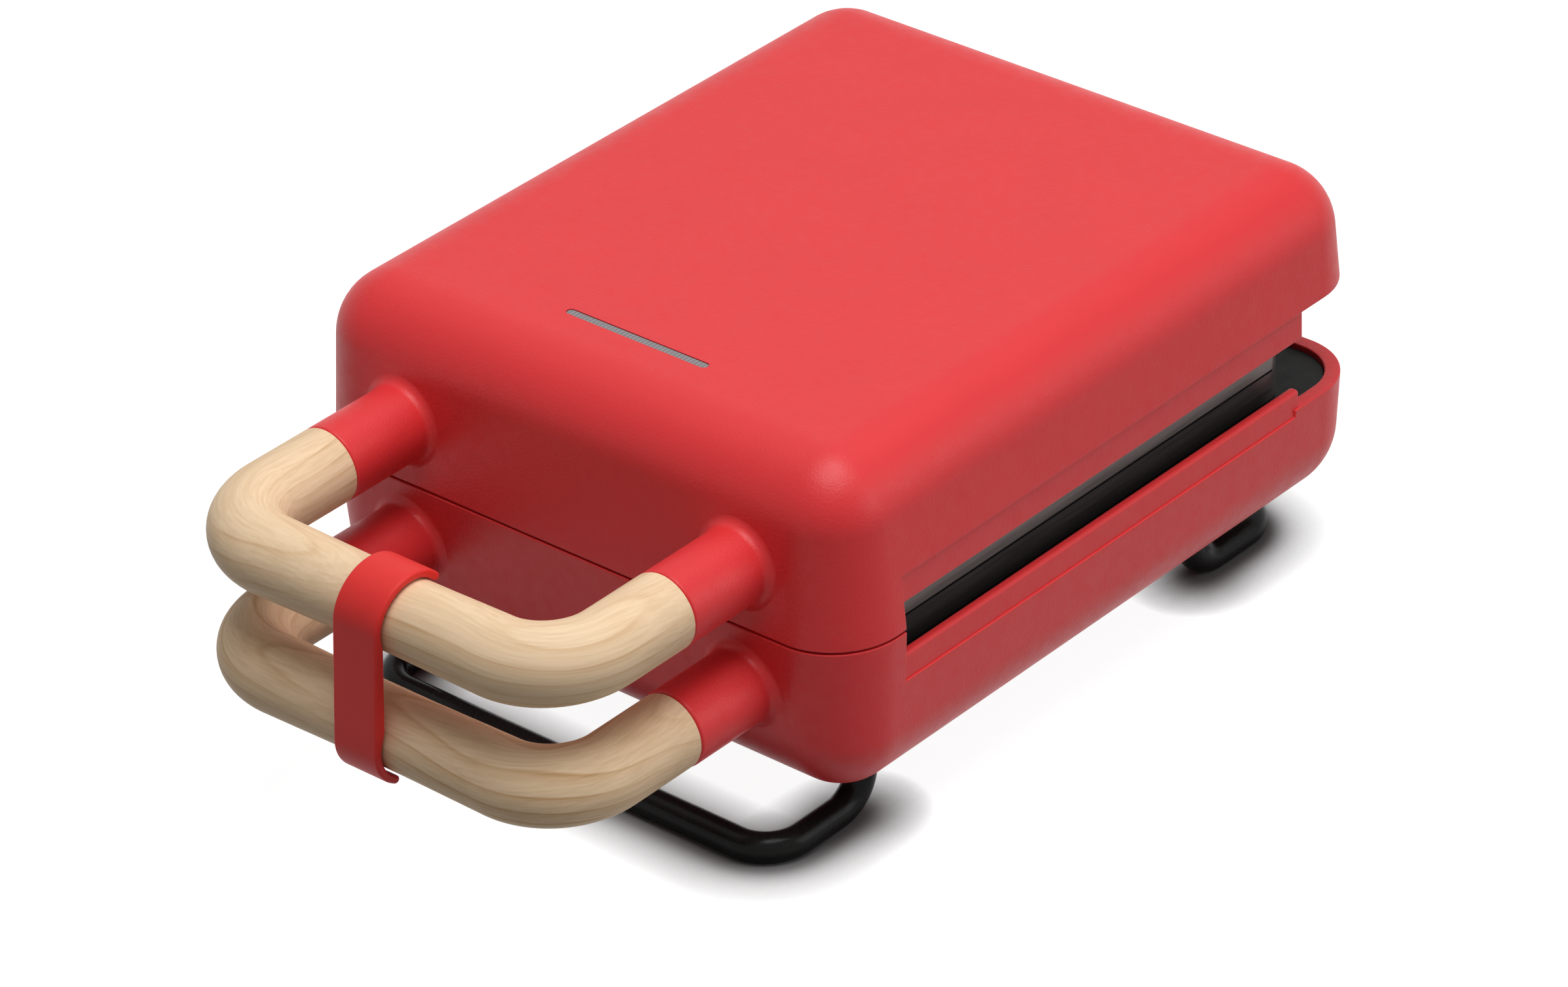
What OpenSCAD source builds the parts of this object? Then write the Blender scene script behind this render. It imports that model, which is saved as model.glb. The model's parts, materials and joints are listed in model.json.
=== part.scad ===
// Countertop press for two fish-shaped cakes, with a hinged lid, wooden handles and a front clip.
// Units are millimetres. X is across, +Y is towards the hinge, Z is up from the worktop.
// The origin is on the worktop, at the middle of the overall length.

/* [Body] */
// Width of the body at the seam between lid and base
body_w = 140; // [136:1:150]
// Length of the body at the seam, without the handles
body_l = 164.2; // [162:0.1:175]
// Corner radius of the body in plan
corner_r = 15; // [13:0.5:18]
// Height of the lid above the seam
lid_h = 36.65; // [36:0.05:42]
// Height of the tub below the seam
base_h = 37.2; // [37:0.1:42]
// Clear height between worktop and tub
foot_h = 13; // [12:0.1:18]
// Draft of the lid's walls in degrees
lid_draft = 4.2; // [2:0.1:5]
// Draft of the tub's walls in degrees
base_draft = 3.7; // [2:0.1:5]
// Radius of the lid's top edge
lid_edge_r = 14; // [10:0.5:16]
// Radius of the tub's bottom edge
base_edge_r = 16; // [12:0.5:17]
// Wall thickness of both shells
wall = 2.6; // [2:0.1:3]

/* [Steam gap] */
// Distance from the front wall to the start of the gap along each side
gap_start = 18; // [16:0.5:24]
// Height of the lid wall's lower edge above the seam, along the gap
gap_top = 11.5; // [9:0.5:12]
// Depth of the tub wall's upper edge below the seam, along the gap
gap_bottom = 11.5; // [11:0.5:13]
// Height of the skirt's lower edge above the seam
skirt_low = 5; // [4:0.5:8]
// Depth of the lip's upper edge below the seam
lip_top = 6; // [5:0.5:8]
// Depth of the rear rim below the seam
rim_top = 10.4; // [10.4:0.1:11]

/* [Handles] */
// Radius of the wooden grips and their sockets
grip_r = 8; // [7:0.1:8.5]
// Distance between the two arms of a handle, axis to axis
grip_spread = 86.4; // [80:0.1:92]
// Distance from the front wall to the crossbar's axis
grip_reach = 49.9; // [46:0.1:56]
// Centre-line radius of the handle's corners
grip_bend_r = 14.3; // [12:0.1:18]
// Distance between the axes of the two crossbars
grip_gap = 26.5; // [24:0.1:27]
// Length of the sockets that the wood plugs into
socket_l = 18; // [17:0.5:22]
// Radius of the wooden tenon inside the socket
tenon_r = 5.5; // [5:0.1:5.8]

/* [Clip] */
// Width of the clip along the crossbars
clip_w = 10.5; // [8:0.5:14]
// Thickness of the clip over the bars
clip_t = 2.25; // [1.8:0.05:2.6]
// Distance of the clip from the middle of the crossbars
clip_x = 2.2; // [-10:0.1:10]

/* [Legs] */
// Radius of the leg rods
rod_r = 3.15; // [2.5:0.05:3.2]
// Distance between the two arms of a leg, axis to axis
leg_spread = 104; // [98:0.5:104]
// Distance along Y between a leg's crossbar and its upright ends
leg_depth = 26.8; // [24:0.1:30]
// Distance from the front wall to the front leg's crossbar, negative in front of it
front_leg_y = -2.9; // [-4:0.1:0]
// Distance from the front wall to the rear leg's crossbar
rear_leg_y = 153; // [150:0.1:156]
// Centre-line radius of the corners on the worktop
leg_bend_r = 8.5; // [7:0.5:12]
// Centre-line radius of the bends up into the tub
leg_rise_r = 8; // [6:0.5:9]

/* [Cooking plates] */
// Width of the plates
plate_w = 124; // [120:1:124]
// Distance from the front wall to the plates' front edge
plate_front = 8; // [8:0.5:9]
// Distance from the front wall to the plates' rear edge
plate_rear = 146; // [144:0.5:146]
// Thickness of each plate
plate_t = 11; // [10.5:0.1:11]
// Depth of each fish-shaped mould
mould_d = 8; // [6:0.5:8.5]
// Half the width of a mould
mould_half_w = 24; // [20:0.5:25]
// Distance of each mould's middle from the plate's middle
mould_x = 29; // [28:0.5:31]

/* [Hinge] */
// Distance from the front wall to the hinge pin
hinge_y = 155.5; // [155:0.1:156]
// Radius of the hinge pin
pin_r = 2.5; // [2:0.1:2.6]

/* [Hidden] */

// Clearance between a shaft and its hole
fit = 0.05;
// Half of the gap between the lid and the tub at the seam
seam_half = 0.25;
// Thickness of the thin slices that the shells' forms are hulled from
slice = 0.01;
// Smallest plan corner radius towards the top and bottom faces
least_corner_r = 3.5;
// Length of the cord gland outside the rear wall's nominal line
gland_out = 1.8;
// Clearance between the clip's lower lip and the lower crossbar
lip_play = 0.3;
// Outer radius of the clip's hook
hook_r = grip_r + fit + clip_t;
// Overall reach in front of the front wall and behind it
nose = grip_reach + hook_r;
tail = body_l + gland_out;
front_y = (nose - tail) / 2;
seam_z = foot_h + base_h;
grip_x = grip_spread / 2;
grip_z = grip_gap / 2;
// Inner face of the front wall, where the sockets' screws sit
screw_seat_y = 4.2;
socket_web = 3.9;
handle_screw_r = 2;
handle_screw_head_r = 3.6;
handle_screw_head_l = 2.4;
// Screws that hold each plate and frame to the shell's posts
post_x = 57;
post_front = 13;
post_rear = 141;
post_r = 4;
// How far the posts end below the shell's inner face, where its corners are already curving in
post_short = 0.8;
plate_screw_r = 2;
plate_screw_head_r = 3.5;
plate_screw_head_l = 2.2;
plate_screw_l = 18;
// Half of the gap between the two plates
plate_half_gap = 0.1;
frame_inset = 5.6;
frame_t = 2.5;
frame_top = plate_t + frame_t;
// Reflector pan
pan_x = 52;
pan_front = 19;
pan_rear = 135;
pan_h = 7.2;
sheet_t = 0.6;
// Tubular heater
heater_r = 3.2;
heater_x = 40;
heater_front = 30;
heater_rear = 128;
heater_bend_r = 16;
heater_pin_r = 1.5;
heater_pin_l = 10;
// Thermostat on the middle of each plate
disc_r = 7.5;
disc_h = 9;
plate_mid = (plate_front + plate_rear) / 2;
// Hinge knuckles
knuckle_r = 5.5;
bracket_half_w = 14;
arm_w = 7.7;
arm_gap = 0.3;
flange_out = 30;
flange_t = 2;
hinge_block_front = 150;
hinge_block_rear = 158.4;
hinge_flange_front = 147;
hinge_screw_x = 26;
hinge_screw_y = 152.5;
hinge_screw_r = 1.5;
hinge_screw_head_r = 2.9;
hinge_screw_head_l = 1.8;
hinge_screw_l = 7;
hinge_boss_l = 5.5;
pin_head_r = 4;
pin_head_l = 2;
pin_half_l = bracket_half_w + arm_gap + arm_w + 0.3;
// Cord gland
gland_z = -19.5;
gland_bore_r = 3.75;
gland_inner_bore_r = 4.1;
gland_body_r = 5.4;
gland_flange_r = 7;
gland_seat_y = body_l - 0.8;
gland_inner_y = 150;
// Legs inside the tub
leg_x = leg_spread / 2;
leg_flat = 0.4;
leg_axis_z = rod_r - leg_flat;
front_upright_y = front_leg_y + leg_depth;
rear_upright_y = rear_leg_y - leg_depth;
leg_top_z = -27.5;
clamp_z = -33;
clamp_t = 2;
clamp_half_l = 57;
clamp_w = 12;
leg_boss_r = 6;
nut_r = 5.5;
nut_h = 2.5;
// Indicator lamp in the lid
lens_y = 23.1;
lens_l = 36;
lens_w = 2;
lens_drop = 0.12;
lens_flange_l = 40;
lens_flange_w = 6;
lens_flange_t = 1.2;
board_z = 28;
board_t = 1.6;
board_half_l = 28;
board_w = 12;
board_screw_x = 25;
board_screw_r = 1.2;
board_boss_r = 3;
// Lowest level of the tub's inner floor
floor_z = wall - base_h;
// Terminal block and leads
block_half_w = 15;
block_front = 133;
block_rear = 146;
block_h = 12;
lead_r = 1;
lead_x = 3;
lead_z = -29;
lead_bend_r = 3;

$fn = 64;

// Places children given from the front wall at the seam
module at_seam() translate([0, front_y, seam_z]) children();

// Copies children to both sides of the middle plane
module both_sides() {
    children();
    mirror([1, 0, 0]) children();
}

// Cylinder along +Y, starting at y
module y_cylinder(r, y, l) translate([0, y, 0]) rotate([-90, 0, 0]) cylinder(r = r, h = l);

// Cylinder along X, centred on x = 0
module x_cylinder(r, l) rotate([0, 90, 0]) cylinder(r = r, h = l, center = true);

// Plan of the body, drawn in by an inset
module plan(inset) {
    r = max(corner_r - inset, least_corner_r);
    x = body_w / 2 - inset - r;
    translate([0, body_l / 2]) {
        square([2 * x, body_l - 2 * inset], center = true);
        square([2 * (x + r), body_l - 2 * (inset + r)], center = true);
        for (sx = [-1, 1], sy = [-1, 1]) {
            translate([sx * x, sy * (body_l / 2 - inset - r)]) circle(r);
        }
    }
}

// Thin slice of the body's plan at a height
module plan_slice(z, inset) translate([0, 0, z]) linear_extrude(slice) plan(inset);

// Drafted box with a rounded outer edge, standing on the seam and h high
module form(h, draft, edge_r, inset) {
    rise = h - edge_r;
    lean = inset + rise * tan(draft);
    hull() {
        plan_slice(0, inset, $fn = 40);
        for (t = [0:15:90]) {
            plan_slice(rise + edge_r * sin(t) - slice, lean + edge_r * (1 - cos(t)), $fn = 40);
        }
    }
}

// Moulded tube at the root of a handle arm, flared where it meets the wall
module socket() {
    flare = 4;
    root_y = 1;
    y_cylinder(grip_r, -socket_l, socket_l + screw_seat_y);
    translate([0, root_y, 0]) rotate([90, 0, 0]) rotate_extrude() {
        difference() {
            translate([grip_r - 1, 0]) square([1 + flare, flare]);
            translate([grip_r + flare, flare]) circle(flare);
        }
    }
}

// What is drilled out of a socket: the bore for the tenon and the screw's hole
module socket_bore() {
    y_cylinder(tenon_r + fit, -socket_l - 1, socket_l + 1 - socket_web);
    y_cylinder(handle_screw_r + fit, -socket_l, socket_l + screw_seat_y + 1);
}

// Children at the four posts
module at_posts() {
    both_sides() {
        for (y = [post_front, post_rear]) translate([post_x, y, 0]) children();
    }
}

// Post from the frame up to a shell's top or bottom, as seen in the lid
module posts(h) at_posts() translate([0, 0, frame_top]) cylinder(r = post_r, h = h - frame_top - wall - post_short);

module post_holes() at_posts() cylinder(r = plate_screw_r + fit, h = plate_screw_l + 2);

// Wooden U with a tenon on each arm, at the height of its axis
module wooden_u() {
    bend_y = grip_bend_r - grip_reach;
    difference() {
        union() {
            translate([0, -grip_reach, 0]) x_cylinder(grip_r, 2 * (grip_x - grip_bend_r));
            both_sides() {
                translate([grip_x - grip_bend_r, bend_y, 0]) rotate([0, 0, -90])
                    rotate_extrude(angle = 90) translate([grip_bend_r, 0]) circle(grip_r);
                translate([grip_x, 0, 0]) y_cylinder(grip_r, bend_y, -socket_l - bend_y);
                translate([grip_x, 0, 0]) y_cylinder(tenon_r, -socket_l - 1, socket_l + 1 - socket_web - fit);
            }
        }
        both_sides() translate([grip_x, 0, 0]) y_cylinder(handle_screw_r + fit, -socket_l, socket_l);
    }
}

// Two screws from inside a shell into the ends of the wood
module handle_screws() {
    both_sides() translate([grip_x, 0, 0]) {
        y_cylinder(handle_screw_head_r, screw_seat_y, handle_screw_head_l);
        y_cylinder(handle_screw_r, -socket_l + 1, socket_l - 1 + screw_seat_y);
    }
}

// Bent rod: crossbar on the worktop in front, arms run back and turn up into the tub
module leg() {
    up_y = leg_depth;
    up_h = seam_z + leg_top_z - leg_axis_z - leg_rise_r;
    difference() {
        translate([0, 0, leg_axis_z]) {
            x_cylinder(rod_r, 2 * (leg_x - leg_bend_r));
            both_sides() {
                translate([leg_x - leg_bend_r, leg_bend_r, 0]) rotate([0, 0, -90])
                    rotate_extrude(angle = 90) translate([leg_bend_r, 0]) circle(rod_r);
                translate([leg_x, 0, 0]) y_cylinder(rod_r, leg_bend_r, up_y - leg_rise_r - leg_bend_r);
                translate([leg_x, up_y - leg_rise_r, leg_rise_r]) rotate([90, 0, 90]) rotate([0, 0, -90])
                    rotate_extrude(angle = 90) translate([leg_rise_r, 0]) circle(rod_r);
                translate([leg_x, up_y, leg_rise_r]) cylinder(r = rod_r, h = up_h);
            }
        }
        translate([-body_w / 2, -leg_depth, -rod_r]) cube([body_w, 3 * leg_depth, rod_r]);
    }
}

// Children at the four upright rod ends, in the seam's frame
module at_uprights() {
    both_sides() {
        for (y = [front_upright_y, rear_upright_y]) translate([leg_x, y, 0]) children();
    }
}

// Outline of one mould, nose towards the front, drawn in by an inset
module fish(inset) {
    body_y = -12;
    body_half_l = 42;
    arc_r = (mould_half_w * mould_half_w + body_half_l * body_half_l) / (2 * mould_half_w);
    off = arc_r - mould_half_w;
    tail_x = 10;
    tail_y = 40;
    tail_r = 13;
    neck_w = 18;
    neck_y = 18;
    neck_l = 26;
    notch_y = 58;
    notch_r = 10;
    intersection() {
        translate([off, body_y]) circle(arc_r - inset);
        translate([-off, body_y]) circle(arc_r - inset);
    }
    difference() {
        union() {
            for (s = [-1, 1]) translate([s * tail_x, tail_y]) circle(tail_r - inset);
            translate([inset - neck_w / 2, neck_y]) square([neck_w - 2 * inset, neck_l]);
        }
        translate([0, notch_y]) circle(notch_r + inset);
    }
}

// One cooking plate, parting face at z = 0 and back face at plate_t
module plate() {
    plate_corner_r = 6;
    half_w = plate_w / 2;
    mould_steps = [[0, 0], [0.45, 1.2], [0.8, 3]];
    difference() {
        linear_extrude(plate_t) {
            translate([-half_w, plate_front + plate_corner_r])
                square([plate_w, plate_rear - plate_front - 2 * plate_corner_r]);
            translate([plate_corner_r - half_w, plate_front])
                square([plate_w - 2 * plate_corner_r, plate_rear - plate_front]);
            for (s = [-1, 1], y = [plate_front + plate_corner_r, plate_rear - plate_corner_r]) {
                translate([s * (half_w - plate_corner_r), y]) circle(plate_corner_r);
            }
        }
        both_sides() translate([mould_x, plate_mid, 0]) {
            for (i = [0:2]) {
                top = i == 0 ? -1 : mould_steps[i][0] * mould_d - 0.01;
                bottom = i == 2 ? mould_d : mould_steps[i + 1][0] * mould_d;
                translate([0, 0, top]) linear_extrude(bottom - top) fish(mould_steps[i][1]);
            }
        }
        post_holes();
        at_posts() translate([0, 0, -1]) cylinder(r = plate_screw_head_r + 0.3, h = 1 + plate_screw_head_l + 0.4);
    }
}

// Screws through a plate's corners and the frame into the posts
module plate_screws() {
    at_posts() {
        translate([0, 0, 0.4]) cylinder(r = plate_screw_head_r, h = plate_screw_head_l);
        translate([0, 0, 0.4]) cylinder(r = plate_screw_r, h = plate_screw_l);
    }
}

// Inner frame: a flat ring on the plate's back
module frame() {
    notch_w = 10;
    notch_y = 8;
    difference() {
        translate([0, 0, plate_t]) linear_extrude(frame_t) {
            difference() {
                plan(frame_inset);
                translate([-pan_x - 0.4, pan_front - 0.4]) square([2 * pan_x + 0.8, pan_rear - pan_front + 0.8]);
                both_sides() translate([grip_x - notch_w / 2, 0]) square([notch_w, notch_y]);
                both_sides() translate([heater_x - notch_w / 2, pan_rear]) square([notch_w, heater_rear + heater_pin_l + 1 - pan_rear]);
            }
        }
        post_holes();
        hinge_screw_holes();
    }
    difference() {
        both_sides() translate([hinge_screw_x, hinge_screw_y, frame_top]) cylinder(r = 4, h = hinge_boss_l - frame_t);
        hinge_screw_holes();
    }
}

module hinge_screw_holes() {
    both_sides() translate([hinge_screw_x, hinge_screw_y, 0]) cylinder(r = hinge_screw_r + fit, h = frame_top + hinge_boss_l);
}

// Tubular element on the plate's back, with a thin pin at each end
module heater() {
    z = plate_t + heater_r;
    bend_y = heater_front + heater_bend_r;
    translate([0, 0, z]) {
        translate([0, heater_front, 0]) x_cylinder(heater_r, 2 * (heater_x - heater_bend_r));
        both_sides() {
            translate([heater_x - heater_bend_r, bend_y, 0]) rotate([0, 0, -90])
                rotate_extrude(angle = 90) translate([heater_bend_r, 0]) circle(heater_r);
            translate([heater_x, 0, 0]) y_cylinder(heater_r, bend_y, heater_rear - bend_y);
            translate([heater_x, 0, 0]) y_cylinder(heater_pin_r, heater_rear - 1, heater_pin_l + 1);
        }
    }
}

// Sheet pan round the heater, open towards the plate
module reflector() {
    length = pan_rear - pan_front;
    difference() {
        translate([-pan_x, pan_front, plate_t]) cube([2 * pan_x, length, pan_h]);
        translate([sheet_t - pan_x, pan_front + sheet_t, plate_t - 1])
            cube([2 * (pan_x - sheet_t), length - 2 * sheet_t, pan_h + 1 - sheet_t]);
        translate([0, plate_mid, plate_t]) cylinder(r = disc_r + 0.5, h = pan_h + 1);
        both_sides() translate([heater_x, 0, plate_t + heater_r])
            y_cylinder(heater_pin_r + fit, pan_rear - 2, 4);
    }
}

// Disc thermostat with two blade terminals
module thermostat() {
    blade_w = 4;
    blade_t = 0.8;
    blade_h = 1.5;
    cap_h = 2.5;
    translate([0, plate_mid, plate_t]) {
        cylinder(r = disc_r, h = cap_h);
        cylinder(r = disc_r - 1.2, h = disc_h - blade_h);
        both_sides() translate([lead_x - blade_t / 2, -blade_w / 2, disc_h - blade_h - 0.5])
            cube([blade_t, blade_w, blade_h + 0.5]);
    }
}

module base_shell() {
    rim_inset = 5.2;
    rim_h = 5.6;
    rim_start = 139;
    lip_x = 66.5;
    lip_t = 1.9;
    lip_end = 141;
    at_seam() color("firebrick") difference() {
        union() {
            difference() {
                mirror([0, 0, 1]) form(base_h, base_draft, base_edge_r, 0);
                difference() {
                    mirror([0, 0, 1]) translate([0, 0, -1])
                        form(base_h - wall + 1, base_draft, base_edge_r - wall, wall);
                    translate([0, 0, -rim_top - rim_h]) linear_extrude(rim_h) difference() {
                        translate([-body_w, rim_start]) square([2 * body_w, body_l]);
                        plan(rim_inset);
                    }
                }
                translate([-body_w, gap_start, -gap_bottom]) cube([2 * body_w, rim_start - gap_start + 2, base_h]);
                translate([-body_w, rim_start, -rim_top]) cube([2 * body_w, body_l, base_h]);
                translate([-body_w, -1, -seam_half]) cube([2 * body_w, body_l, base_h]);
            }
            both_sides() {
                translate([lip_x, gap_start - 1, -gap_bottom - 4])
                    cube([lip_t, lip_end - gap_start + 1, gap_bottom + 4 - lip_top]);
                translate([grip_x, 0, -grip_z]) socket();
            }
            mirror([0, 0, 1]) posts(base_h);
            at_uprights() translate([0, 0, clamp_z - 2.5]) cylinder(r = leg_boss_r, h = 2.5);
        }
        both_sides() translate([grip_x, 0, -grip_z]) socket_bore();
        mirror([0, 0, 1]) translate([0, 0, frame_top - 1]) post_holes();
        at_uprights() translate([0, 0, -base_h - 1]) cylinder(r = rod_r + fit, h = 6);
        translate([0, 0, gland_z]) y_cylinder(gland_body_r + fit, gland_seat_y - 8, 12);
    }
}

module lid_shell() {
    skirt_x = 66.2;
    skirt_t = 2;
    skirt_end = 142.4;
    boss_h = lid_h - wall - board_z - board_t;
    at_seam() color("firebrick") difference() {
        union() {
            difference() {
                form(lid_h, lid_draft, lid_edge_r, 0);
                translate([0, 0, -1]) form(lid_h - wall + 1, lid_draft, lid_edge_r - wall, wall);
                translate([-body_w, gap_start, -1]) cube([2 * body_w, body_l, gap_top + 1]);
                translate([-body_w, -1, -1]) cube([2 * body_w, body_l, 1 + seam_half]);
            }
            both_sides() {
                translate([skirt_x, gap_start - 1, skirt_low])
                    cube([skirt_t, skirt_end - gap_start + 1, gap_top + 1.5 - skirt_low]);
                translate([grip_x, 0, grip_z]) socket();
                translate([board_screw_x, lens_y, board_z + board_t]) cylinder(r = board_boss_r, h = boss_h + 1);
            }
            posts(lid_h);
        }
        both_sides() {
            translate([grip_x, 0, grip_z]) socket_bore();
            translate([board_screw_x, lens_y, board_z]) cylinder(r = board_screw_r + fit, h = 6);
        }
        translate([0, 0, frame_top - 1]) post_holes();
        translate([0, lens_y, lid_h - wall - 1]) lens_bar(lens_w / 2, wall + 2);
    }
}

// Bar with rounded ends along X, r is half of its width
module lens_bar(r, h) {
    half = lens_l / 2 - lens_w / 2;
    translate([-half, -r, 0]) cube([2 * half, 2 * r, h]);
    both_sides() translate([half, 0, 0]) cylinder(r = r, h = h);
}

module indicator_lens() {
    under_z = lid_h - wall;
    at_seam() color("gray") translate([0, lens_y, 0]) {
        translate([0, 0, under_z - 0.2]) lens_bar(lens_w / 2 - fit, wall + 0.2 - lens_drop);
        translate([-lens_flange_l / 2, -lens_flange_w / 2, under_z - lens_flange_t])
            cube([lens_flange_l, lens_flange_w, lens_flange_t]);
    }
}

module indicator_board() {
    lamp_x = 9;
    lamp_r = 1.5;
    lamp_h = 2.6;
    at_seam() color("darkgreen") translate([0, lens_y, board_z]) {
        difference() {
            translate([-board_half_l, -board_w / 2, 0]) cube([2 * board_half_l, board_w, board_t]);
            both_sides() translate([board_screw_x, 0, -1]) cylinder(r = board_screw_r + fit, h = board_t + 2);
        }
        both_sides() translate([lamp_x, 0, board_t - 0.2]) cylinder(r = lamp_r, h = lamp_h);
    }
}

module indicator_board_screws() {
    head_r = 2.2;
    head_l = 1.4;
    at_seam() color("silver") both_sides() translate([board_screw_x, lens_y, board_z]) {
        translate([0, 0, -head_l]) cylinder(r = head_r, h = head_l);
        translate([0, 0, -head_l]) cylinder(r = board_screw_r, h = head_l + 5.5);
    }
}

module base_frame() at_seam() color("#202020") mirror([0, 0, 1]) frame();

module lid_frame() at_seam() color("#202020") frame();

module lower_plate() at_seam() color("#262626") translate([0, 0, -plate_half_gap]) mirror([0, 0, 1]) thinner_plate();

module upper_plate() at_seam() color("#262626") translate([0, 0, plate_half_gap]) thinner_plate();

// Plate with its back face level with the frame's
module thinner_plate() {
    intersection() {
        plate();
        translate([-body_w, 0, -1]) cube([2 * body_w, body_l, 1 + plate_t - plate_half_gap]);
    }
}

module lower_heater() at_seam() color("dimgray") mirror([0, 0, 1]) heater();

module upper_heater() at_seam() color("dimgray") heater();

module lower_reflector() at_seam() color("silver") mirror([0, 0, 1]) reflector();

module upper_reflector() at_seam() color("silver") reflector();

module lower_thermostat() at_seam() color("tan") mirror([0, 0, 1]) thermostat();

module upper_thermostat() at_seam() color("tan") thermostat();

// One-shot fuse that lies on the reflector's back
module thermal_fuse() {
    fuse_r = 2;
    fuse_l = 12;
    wire_r = 0.6;
    wire_l = 22;
    fuse_x = 24;
    at_seam() color("silver") translate([fuse_x, plate_mid, -plate_t - pan_h - fuse_r]) {
        translate([0, -fuse_l / 2, 0]) y_cylinder(fuse_r, 0, fuse_l);
        translate([0, -wire_l / 2, 0]) y_cylinder(wire_r, 0, wire_l);
    }
}

module terminal_block() {
    way_r = 2;
    way_x = 9;
    at_seam() color("ivory") difference() {
        translate([-block_half_w, block_front, floor_z]) cube([2 * block_half_w, block_rear - block_front, block_h]);
        for (x = [-way_x, 0, way_x]) translate([x, 0, floor_z + block_h - 3.5]) y_cylinder(way_r, block_front - 1, block_rear - block_front + 2);
    }
}

// Two insulated wires from the terminal block to the thermostat
module base_leads() {
    run_y = plate_mid + lead_bend_r;
    rise = -plate_t - disc_h - lead_z - lead_bend_r;
    at_seam() color("white") both_sides() translate([lead_x, 0, lead_z]) {
        y_cylinder(lead_r, run_y, block_front - run_y);
        translate([0, run_y, lead_bend_r]) rotate([90, 0, 90]) rotate([0, 0, 180])
            rotate_extrude(angle = 90) translate([lead_bend_r, 0]) circle(lead_r);
        translate([0, plate_mid, lead_bend_r]) cylinder(r = lead_r, h = rise);
    }
}

// Bush in the rear wall that the mains lead comes through, with a flange that lies on the drafted wall
module cord_gland() {
    cut_w = 2 * gland_flange_r + 2;
    cut_h = body_l / 2;
    at_seam() color("#202020") difference() {
        union() {
            translate([0, 0, gland_z]) y_cylinder(gland_body_r, gland_inner_y, tail - gland_inner_y);
            difference() {
                translate([0, 0, gland_z]) y_cylinder(gland_flange_r, gland_seat_y - 2, tail - gland_seat_y + 2);
                translate([0, body_l + fit / 2, 0]) rotate([-base_draft, 0, 0])
                    translate([-cut_w / 2, -cut_w, -cut_h]) cube([cut_w, cut_w, cut_h]);
            }
        }
        translate([0, 0, gland_z]) {
            y_cylinder(gland_bore_r, gland_inner_y - 1, tail - gland_inner_y + 2);
            y_cylinder(gland_inner_bore_r, gland_inner_y - 1, gland_seat_y - gland_inner_y + 1);
        }
    }
}

module front_leg() color("#1c1a18") translate([0, front_y + front_leg_y, 0]) leg();

module rear_leg() color("#1c1a18") translate([0, front_y + rear_leg_y, 0]) mirror([0, 1, 0]) leg();

// Steel bars across the tub that tie the rods together
module leg_clamps() {
    at_seam() color("silver") difference() {
        for (y = [front_upright_y, rear_upright_y]) {
            translate([-clamp_half_l, y - clamp_w / 2, clamp_z]) cube([2 * clamp_half_l, clamp_w, clamp_t]);
        }
        at_uprights() translate([0, 0, clamp_z - 1]) cylinder(r = rod_r + fit, h = clamp_t + 2);
    }
}

module leg_nuts() {
    at_seam() color("silver") difference() {
        at_uprights() translate([0, 0, clamp_z + clamp_t]) cylinder(r = nut_r, h = nut_h);
        at_uprights() translate([0, 0, clamp_z + clamp_t - 1]) cylinder(r = rod_r + fit, h = nut_h + 2);
    }
}

module base_handle() at_seam() color("burlywood") translate([0, 0, -grip_z]) wooden_u();

module lid_handle() at_seam() color("burlywood") translate([0, 0, grip_z]) wooden_u();

module base_handle_screws() at_seam() color("silver") translate([0, 0, -grip_z]) handle_screws();

module lid_handle_screws() at_seam() color("silver") translate([0, 0, grip_z]) handle_screws();

module lower_plate_screws() at_seam() color("silver") mirror([0, 0, 1]) plate_screws();

module upper_plate_screws() at_seam() color("silver") plate_screws();

// Foot and knuckle of a hinge part that spans x0 to x1, foot on the frame at z = plate_t
module knuckle(x0, x1) {
    translate([x0, hinge_block_front, 0]) cube([x1 - x0, hinge_block_rear - hinge_block_front, plate_t]);
    translate([(x0 + x1) / 2, hinge_y, 0]) x_cylinder(knuckle_r, x1 - x0);
}

// Flange with the screw's hole, on the frame
module hinge_flange(x0) {
    translate([x0, hinge_flange_front, plate_t - flange_t])
        cube([flange_out - x0, hinge_block_rear - hinge_flange_front, flange_t]);
}

module hinge_bracket() {
    at_seam() color("#202020") mirror([0, 0, 1]) difference() {
        union() {
            knuckle(-bracket_half_w, bracket_half_w);
            both_sides() hinge_flange(bracket_half_w - 1);
        }
        translate([0, hinge_y, 0]) x_cylinder(pin_r + fit, body_w);
        hinge_screw_holes();
    }
}

module hinge_arms() {
    arm_x = bracket_half_w + arm_gap;
    at_seam() color("#202020") difference() {
        both_sides() {
            knuckle(arm_x, arm_x + arm_w);
            hinge_flange(arm_x + 1);
        }
        translate([0, hinge_y, 0]) x_cylinder(pin_r + fit, body_w);
        hinge_screw_holes();
    }
}

// Screws through the hinge flanges into the frame
module hinge_screws() {
    both_sides() translate([hinge_screw_x, hinge_screw_y, plate_t - flange_t]) {
        translate([0, 0, -hinge_screw_head_l]) cylinder(r = hinge_screw_head_r, h = hinge_screw_head_l);
        translate([0, 0, -hinge_screw_head_l]) cylinder(r = hinge_screw_r, h = hinge_screw_head_l + hinge_screw_l);
    }
}

module hinge_bracket_screws() at_seam() color("silver") mirror([0, 0, 1]) hinge_screws();

module hinge_arm_screws() at_seam() color("silver") hinge_screws();

module hinge_pin() {
    at_seam() color("silver") translate([0, hinge_y, 0]) {
        x_cylinder(pin_r, 2 * pin_half_l);
        both_sides() translate([pin_half_l + pin_head_l / 2, 0, 0]) x_cylinder(pin_head_r, pin_head_l);
    }
}

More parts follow.
